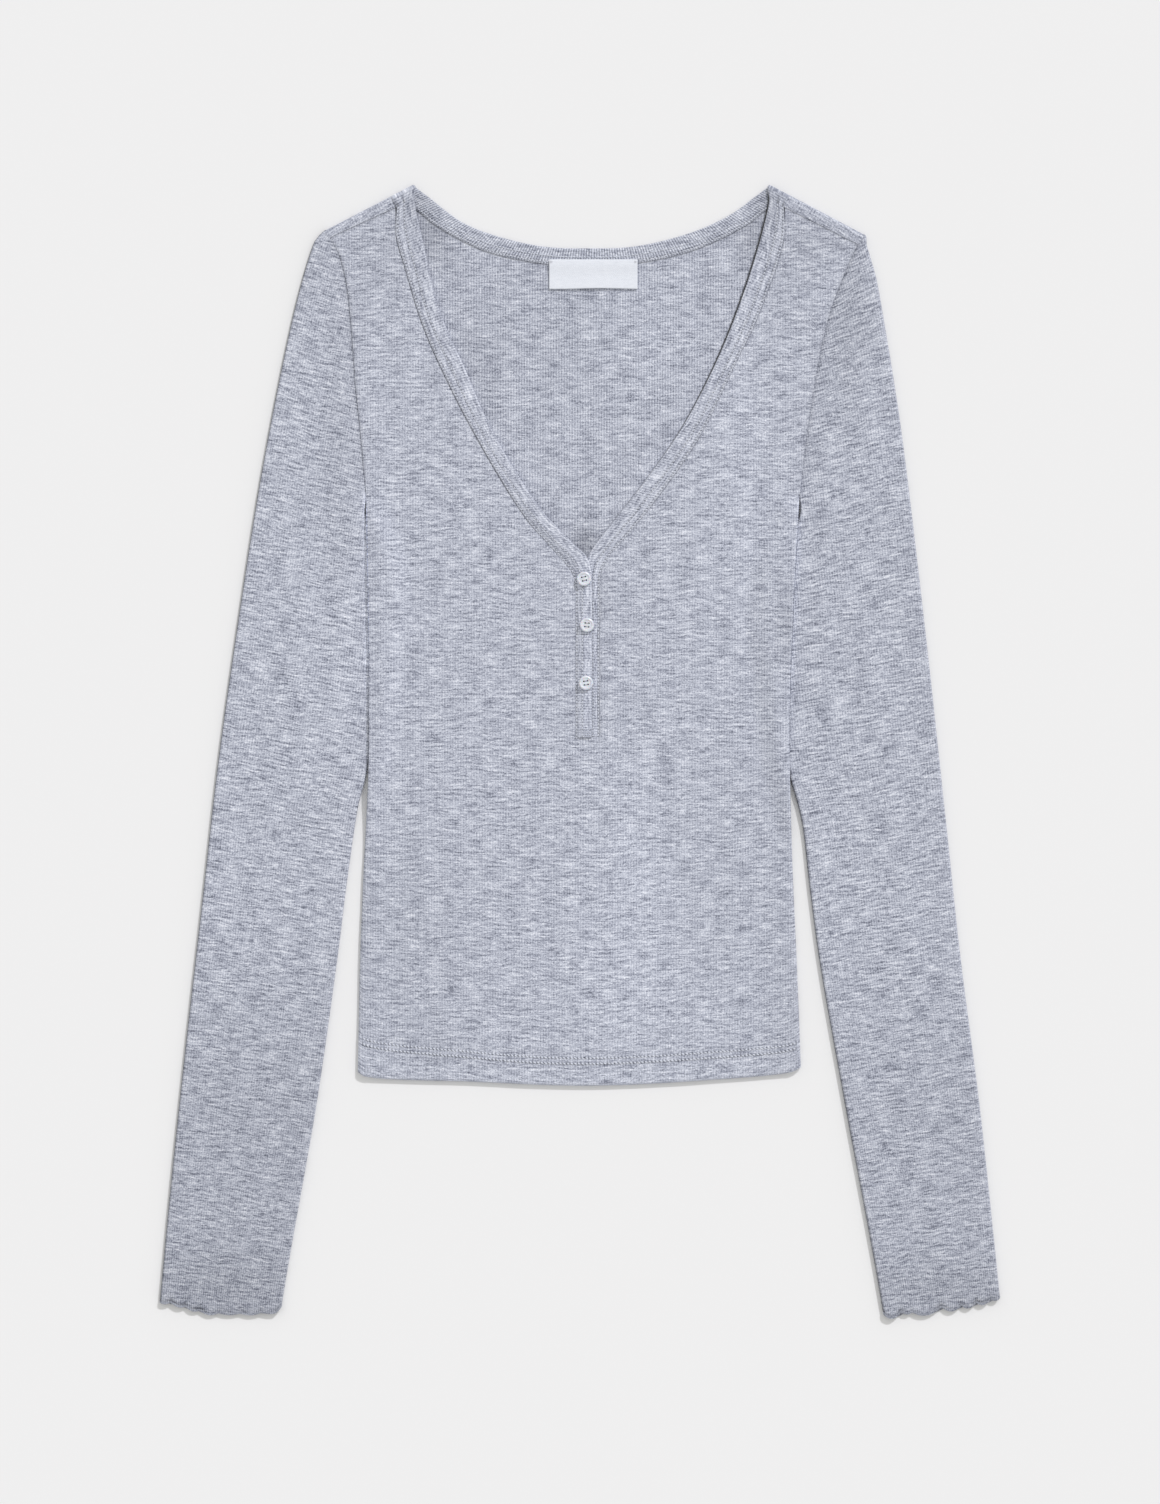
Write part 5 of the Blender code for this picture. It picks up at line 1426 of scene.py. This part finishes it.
def strip_surface(parts, along, shaded):
    """The strip's two faces and rounded edge: points (station, place round the section).

    Where shaded is 1, the edge's foot stands out a little from under it."""
    seam, edge, thickness, under, normal = parts
    across = edge - seam
    width = np.linalg.norm(across, axis=1, keepdims=True)
    across = across / width
    shares = STRIP_SHARES
    flat = seam[:, None] + across[:, None] * (width * shares)[:, :, None]
    inner = np.dstack([flat, under])
    relief = strip_relief(shares, along)
    rounding = np.sqrt(np.clip(1 - (np.clip(shares - 0.9, 0, 1) / 0.11) ** 2, 0.1, 1))[None]
    rounding = rounding * np.where(shares < 0.02, 0.7, 1.0)
    half = thickness[:, None] / 2
    upper = (half + (half + relief) * rounding)[:, :, None] * normal[:, None]
    lower = (half - (half + relief * 0.3) * rounding)[:, :, None] * normal[:, None]
    tip = np.hstack([edge, under[:, -1:]]) + half * normal
    foot = np.hstack([edge + across * FOOT_REACH * shaded[:, None], under[:, -1:]])
    foot = foot + half * (1 - 0.6 * shaded[:, None]) * normal
    ring = [inner + lower, foot[:, None], tip[:, None], (inner + upper)[:, ::-1]]
    return np.concatenate(ring, axis=1), inner + upper


def strip_column(share):
    """The column of points that is nearest to a share of the way across the strip."""
    return int(np.argmin(np.abs(STRIP_SHARES - share)))


def stitch_gaps(line):
    """How near each point of a line is to a gap between two stitches, from 0 to 1."""
    along = lengths_along(line)
    length = along[-1] / max(1, int(along[-1] / STITCH))
    return 0.5 + 0.5 * np.cos(2 * math.pi * along / length)


def painted_dimple_shade(line, share, dimples):
    """How dark the painted shade in a row of stitches' dimples is, at points along the strip and
    across it.
    """
    row, gap, width = dimples
    return (row + gap * stitch_gaps(line)[:, None] ** 2) * soft_line(STRIP_SHARES - share, width)


def strip_inside(top, names, along):
    """Lightness of the strip's inner face round the back neck: painted shade between its crosswise
    ribs and in a stitch row.
    """
    # Painted shade: darker between the crosswise ribs
    ribs = 0.9 + 0.2 * np.cos(2 * math.pi * along / PITCH)
    tone = ribs[:, None] - painted_dimple_shade(top[:, 1], INSIDE_ROW, INSIDE_DIMPLE_PAINTED_SHADE)
    return np.where(((names > 0) & (names < 4))[:, None], tone, 1.0)


def strip_tone(top, names, shaded, along):
    """Lightness round the section: painted shade in the dimples between the stitches and on the
    edge's foot.
    """
    upper = np.ones(top.shape[:2])
    for part in STRIP_PARTS:
        chosen = names == part
        for share in STITCH_SHARES:
            line = top[chosen][:, strip_column(share)]
            upper[chosen] -= painted_dimple_shade(line, share, STRIP_DIMPLE_PAINTED_SHADE)
    # Painted shade on the foot and tip of the strip's free edge
    edge = 1 - (1 - EDGE_SHADE) * shaded[:, None]
    return np.concatenate([strip_inside(top, names, along), edge, edge, upper[:, ::-1]], axis=1)


def all_stations():
    """The whole strip, from the foot of the slit on the wearer's right round to the left's."""
    parts = [[values[::-1] for values in strip_front("right")], strip_fold("right"), strip_back(),
             [values[::-1] for values in strip_fold("left")], strip_front("left")]
    joined = [np.concatenate([part[i] for part in parts]) for i in range(5)]
    names = np.concatenate([np.full(len(part[0]), index) for index, part in enumerate(parts)])
    return joined, lengths_along((joined[0] + joined[1]) / 2), names


def turn_upwards(mesh, above):
    """Turns a mesh over if its faces above a height look down."""
    mesh.update()
    facing = sum(face.normal.z * face.area for face in mesh.polygons if face.center.z > above)
    if facing < 0:
        mesh.flip_normals()


def make_binding(knit):
    parts, along, names = all_stations()
    height = parts[1][:, 1]
    starts, full, fades, ends = EDGE_SHADE_HEIGHTS
    shaded = between(height, starts, full) * between(height, ends, fades) * (names == 4)
    shaded = shaded * (EDGE_THINS + (1 - EDGE_THINS) * between(height, *EDGE_THINS_HEIGHTS))
    ring, top = strip_surface(parts, along, shaded)
    x, y, z = np.moveaxis(ring, -1, 0)
    v = np.linspace(0.0, STRIP_ROUND, ring.shape[1])[None]
    # Painted shade under the buttons, at the neck's corners and along the placket's sides
    change = painted_shading(x, y, STRIP_PAINTED_SHADING) - painted_placket_shade(x, y)
    lighter = PLACKET_LIGHTER * between(height, *FRONT_PLACKET)[:, None]
    tone = strip_tone(top, names, shaded, along) * (STRIP_TONE + change + lighter)
    cloth = Cloth()
    cloth.grid(x, y, z, along[:, None], v, tone, False)
    piece = cloth.make("neck_binding_cloth", knit, "rib_knit")
    turn_upwards(piece.data, STRIP_UPPER * MM)
    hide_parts("neck_binding")
    return piece, top, names


# ---- Threads ----


def threads(name, rows, radius, finish, arch=0.0, sides=6):
    """Short rounded threads, arched a little upwards. A row is one or more (starts, ends)."""
    starts, ends = (np.vstack(points) for points in zip(*rows))
    way = ends - starts
    length = np.linalg.norm(way, axis=1, keepdims=True)
    way = way / length
    beside = np.cross(way, (0.0, 0.0, 1.0))
    beside /= np.maximum(np.linalg.norm(beside, axis=1, keepdims=True), 1e-6)
    over = np.cross(beside, way)
    rings = []
    for share, size, rise in THREAD_PROFILE:
        centre = starts + way * length * share + over * arch * rise
        for angle in 2 * math.pi * np.arange(sides) / sides:
            rings.append(centre + radius * size * (beside * math.cos(angle)
                                                   + over * math.sin(angle)))
    points = np.stack(rings, axis=1)
    template = []
    for low in range(0, len(rings) - sides, sides):
        for step in range(sides):
            after = (step + 1) % sides
            template.append((low + step, low + after, low + sides + after, low + sides + step))
    firsts = np.arange(len(starts))[:, None, None] * len(rings)
    mesh = bpy.data.meshes.new(name)
    mesh.from_pydata((points.reshape(-1, 3) * MM).tolist(), [],
                     (np.array(template) + firsts).reshape(-1, 4).tolist())
    mesh.shade_smooth()
    return add_piece(name, mesh, finish)


def row_of_stitches(line, wander, lean):
    """(starts, ends) of stitches along a line of points, lying on it."""
    along = lengths_along(line)
    count = max(1, int(along[-1] / STITCH))
    marks = np.linspace(0, along[-1], count + 1)
    random = np.random.default_rng(int(abs(line[0, 0]) * 10) + count)
    offsets = random.normal(0.0, wander, (count, 2))
    gap = marks[1] * GAP_SHARE
    first = points_on(line, along, marks[:-1] + gap * (0.5 + offsets[:, 0]))
    last = points_on(line, along, marks[1:] - gap * (0.5 + offsets[:, 1]))
    sideways = np.cross(last - first, (0.0, 0.0, 1.0))
    sideways /= np.linalg.norm(sideways, axis=1, keepdims=True)
    return first - sideways * lean, last + sideways * lean


def binding_stitches(top, names, finish):
    """Two rows of cover stitch down each side of the front, two inside the back neck."""
    lines = [top[names == part][:, strip_column(share)] + np.array((0.0, 0.0, 0.1))
             for share in STITCH_SHARES for part in STRIP_PARTS]
    back = top[names == 2][9:-9, 1]
    inside = back * np.array((1.0, 1.0, 0.0)) + np.array((0.0, 0.55, STRIP + 0.05))
    lines += [inside + np.array((0.0, shift, 0.0)) for shift in BACK_NECK_ROWS]
    rows = [row_of_stitches(line, 0.12, 0.12) for line in lines]
    return threads("binding_stitches", rows, 0.3, finish, 0.14)


def hem_stitches(finish):
    """Two rows of cover stitch on the front, and the same on the back's underside."""
    rows = []
    x = np.linspace(*HEM_STITCH_ENDS, 271)
    for rise in HEM_STITCH_RISES:
        y = hem_height(x) + hem_depth(x) + rise
        for z in (front_height(x, y) - 0.02, back_height(x, y) + 0.2):
            rows.append(row_of_stitches(np.stack([x, y, z], axis=1), 0.14, 0.4))
    return threads("hem_stitches", rows, 0.42, finish, 0.14)


def cuff_stitches(side, edges, finish):
    """Overlock thread round the cuff's wavy edge: close slanting stitches."""
    rows = []
    start, end = np.array(CUFF_STITCH_REACH)
    for line in edges:
        along = lengths_along(line)
        marks = np.arange(0.4, along[-1] - 0.4, CUFF_STITCH)
        random = np.random.default_rng(len(marks))
        marks = marks + random.normal(0.0, CUFF_STITCH_JITTER, marks.shape)
        slant = random.normal(*CUFF_STITCH_SLANT, marks.shape)
        rows.append((points_on(line, along, marks) + start,
                     points_on(line, along, marks + slant) + end))
    return threads("cuff_stitches_" + side, rows, 0.19, finish, 0.08)


def bar_stitches(finish):
    """The bars that close the foot of the slit."""
    rows = []
    z = STRIP_OVER_SLIT + STRIP_AT_SLIT + 0.08
    for y in (SLIT_FOOT + rise for rise in BAR_RISES):
        rows += [((x, y, z), (x + 1.0, y + 0.25, z)) for x in np.arange(*BAR_X)]
    return threads("bar_stitches", rows, 0.2, finish, 0.08)


def button_threads(finish):
    """Two turns of thread through each pair of a button's holes."""
    rows = []
    z = BUTTON_FACE + 0.02
    for (x, y), turn in zip(BUTTON_CENTRES, BUTTON_TURNS):
        for pair in ((225, 315), (135, 45)):
            angles = [math.radians(corner + turn) for corner in pair]
            for shift in (-0.15, 0.15):
                rows.append([(x + HOLE_RING * math.cos(angle),
                              y + HOLE_RING * math.sin(angle) + shift, z) for angle in angles])
    return threads("button_threads", rows, 0.11, finish, 0.1, sides=8)


# ---- Label ----


def make_label(finish):
    """A thin satin ribbon with rounded edges, coming down from the binding to the panel."""
    shares = np.array((0.0, 0.02, 0.05, 0.1, 0.18, 0.25, 0.32, 0.4, 0.5, 0.6, 0.7, 0.8, 0.9, 0.96,
                       0.985, 1.0))[:, None]
    across = np.array((0.0, 0.004, 0.012, 0.03) + tuple(np.linspace(0.06, 0.94, 45))
                      + (0.97, 0.988, 0.996, 1.0))[None]
    x = LABEL_X[0] + (LABEL_X[1] - LABEL_X[0]) * across
    sway = 0.25 * np.sin(x / 9.0) * shares
    y = LABEL_TOP - LABEL_LENGTH * shares + sway
    z = np.interp(shares, *zip(*LABEL_PROFILE))
    z = z + 0.12 * np.sin(x / 6.3 + 0.6) * ease(shares * 2)
    edge = np.minimum(np.minimum(across, 1 - across) * 55.0, np.minimum(shares, 1 - shares) * 18.0)
    drop = LABEL_WALL * 0.5 * (1 - np.sqrt(np.clip(1 - (1 - edge / 0.35).clip(0, 1) ** 2, 0, 1)))
    cloth = Cloth()
    cloth.grid(x, y, z - drop, x, y, 1.0, True)
    cloth.grid(x, y, z - LABEL_WALL + drop, x, y, 1.0, False)
    piece = cloth.make("neck_label", finish, "label_weave")
    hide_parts("label")
    return piece


def label_stitches(finish):
    rows = []
    for x in (LABEL_X[0] + 1.3, LABEL_X[1] - 1.3):
        for top in (LABEL_TOP - 1.0 - step * 0.55 for step in range(3)):
            rows.append(((x - 0.9, top, 3.34), (x + 0.9, top - 0.15, 3.34)))
    return threads("label_stitches", rows, 0.16, finish, 0.05)


# ---- Studio ----


def make_floor():
    """A wide disc, just below the shirt."""
    points = [(0.0, 0.0, -FLOOR_DROP)]
    for radius in (1.0, FLOOR_RADIUS - FLOOR_RIM, FLOOR_RADIUS):
        for step in range(FLOOR_SIDES):
            angle = 2 * math.pi * step / FLOOR_SIDES
            points.append((radius * math.cos(angle), radius * math.sin(angle), -FLOOR_DROP))
    faces = [(0, 1 + step, 1 + (step + 1) % FLOOR_SIDES) for step in range(FLOOR_SIDES)]
    for low in (1, 1 + FLOOR_SIDES):
        high = low + FLOOR_SIDES
        for step in range(FLOOR_SIDES):
            after = (step + 1) % FLOOR_SIDES
            faces.append((low + step, high + step, high + after, low + after))
    mesh = bpy.data.meshes.new("studio_floor")
    mesh.from_pydata(points, [], faces)
    mesh.materials.append(floor_material("pale_floor"))
    floor = show("studio_floor", mesh)
    floor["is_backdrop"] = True


def make_lights():
    """Soft light from all round, and a key light from the upper right of the picture."""
    world = bpy.data.worlds.new("studio")
    world.use_nodes = True
    background = world.node_tree.nodes["Background"]
    background.inputs["Color"].default_value = (1.0, 0.998, 0.985, 1.0)
    background.inputs["Strength"].default_value = FILL
    bpy.context.scene.world = world
    sun = bpy.data.lights.new("key", "SUN")
    sun.energy = KEY
    sun.angle = math.radians(3.0)
    sun.color = (1.0, 1.0, 1.035)
    show("key", sun).rotation_euler = Vector(KEY_WAY).to_track_quat("-Z", "Y").to_euler()


def make_camera():
    """Straight above the shirt, so that the frame is 719 by 932 mm at the floor."""
    data = bpy.data.cameras.new("camera")
    data.lens = LENS
    data.sensor_width = SENSOR
    data.sensor_fit = "AUTO"
    data.clip_start, data.clip_end = 0.1, 60.0
    camera = show("camera", data)
    camera.location = (0.0006, 0.0, (FRAME_HEIGHT * LENS / SENSOR + 3.0) * MM)
    bpy.context.scene.camera = camera


def main():
    make_camera()
    body_knit = rib_knit("body_rib_knit", PITCH, 3.0, rib=0.6)
    thread = thread_material("grey_thread", linear(224, 228, 239))
    dull_thread = thread_material("dull_thread", linear(176, 180, 192))
    inside_knit = rib_knit("inside_rib_knit", PITCH, 23.0, streak=0.85, rib=1.2, blotch=1.4)
    pieces = {"front": make_front(body_knit), "back": make_back(body_knit, inside_knit)}
    for seed, side in enumerate(SIDES, 1):
        knit = rib_knit("sleeve_%s_rib_knit" % side, SLEEVE_PITCH, 10.0 * seed, streak=1.12, rib=0.8)
        pieces["sleeve_" + side], edges = make_sleeve(side, knit)
        pieces["cuff_" + side] = cuff_stitches(side, edges, dull_thread)
    strip_knit = rib_knit("binding_rib_knit", PITCH, 40.0, streak=0.85, rib=1.3)
    pieces["binding"], top, names = make_binding(strip_knit)
    pieces["binding_stitches"] = binding_stitches(top, names, thread)
    pieces["hem_stitches"] = hem_stitches(thread)
    pieces["bar_stitches"] = bar_stitches(thread)
    pieces["label"] = make_label(label_material("woven_label"))
    pieces["label_stitches"] = label_stitches(thread_material("white_thread",
                                                              linear(228, 229, 236)))
    pearl = button_material("pearl_plastic")
    for number in (1, 2, 3):
        node = bpy.data.objects["button_%d" % number]
        for slot in node.material_slots:
            slot.material = pearl
    button_threads(dull_thread)
    make_floor()
    make_lights()
    bpy.context.scene.view_settings.view_transform = "Standard"


main()


def write_sizes():
    boxes = {"cad": CAD_BOX, "visual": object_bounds()}
    lists = {name: [list(corner) for corner in box] for name, box in boxes.items()}


write_sizes()
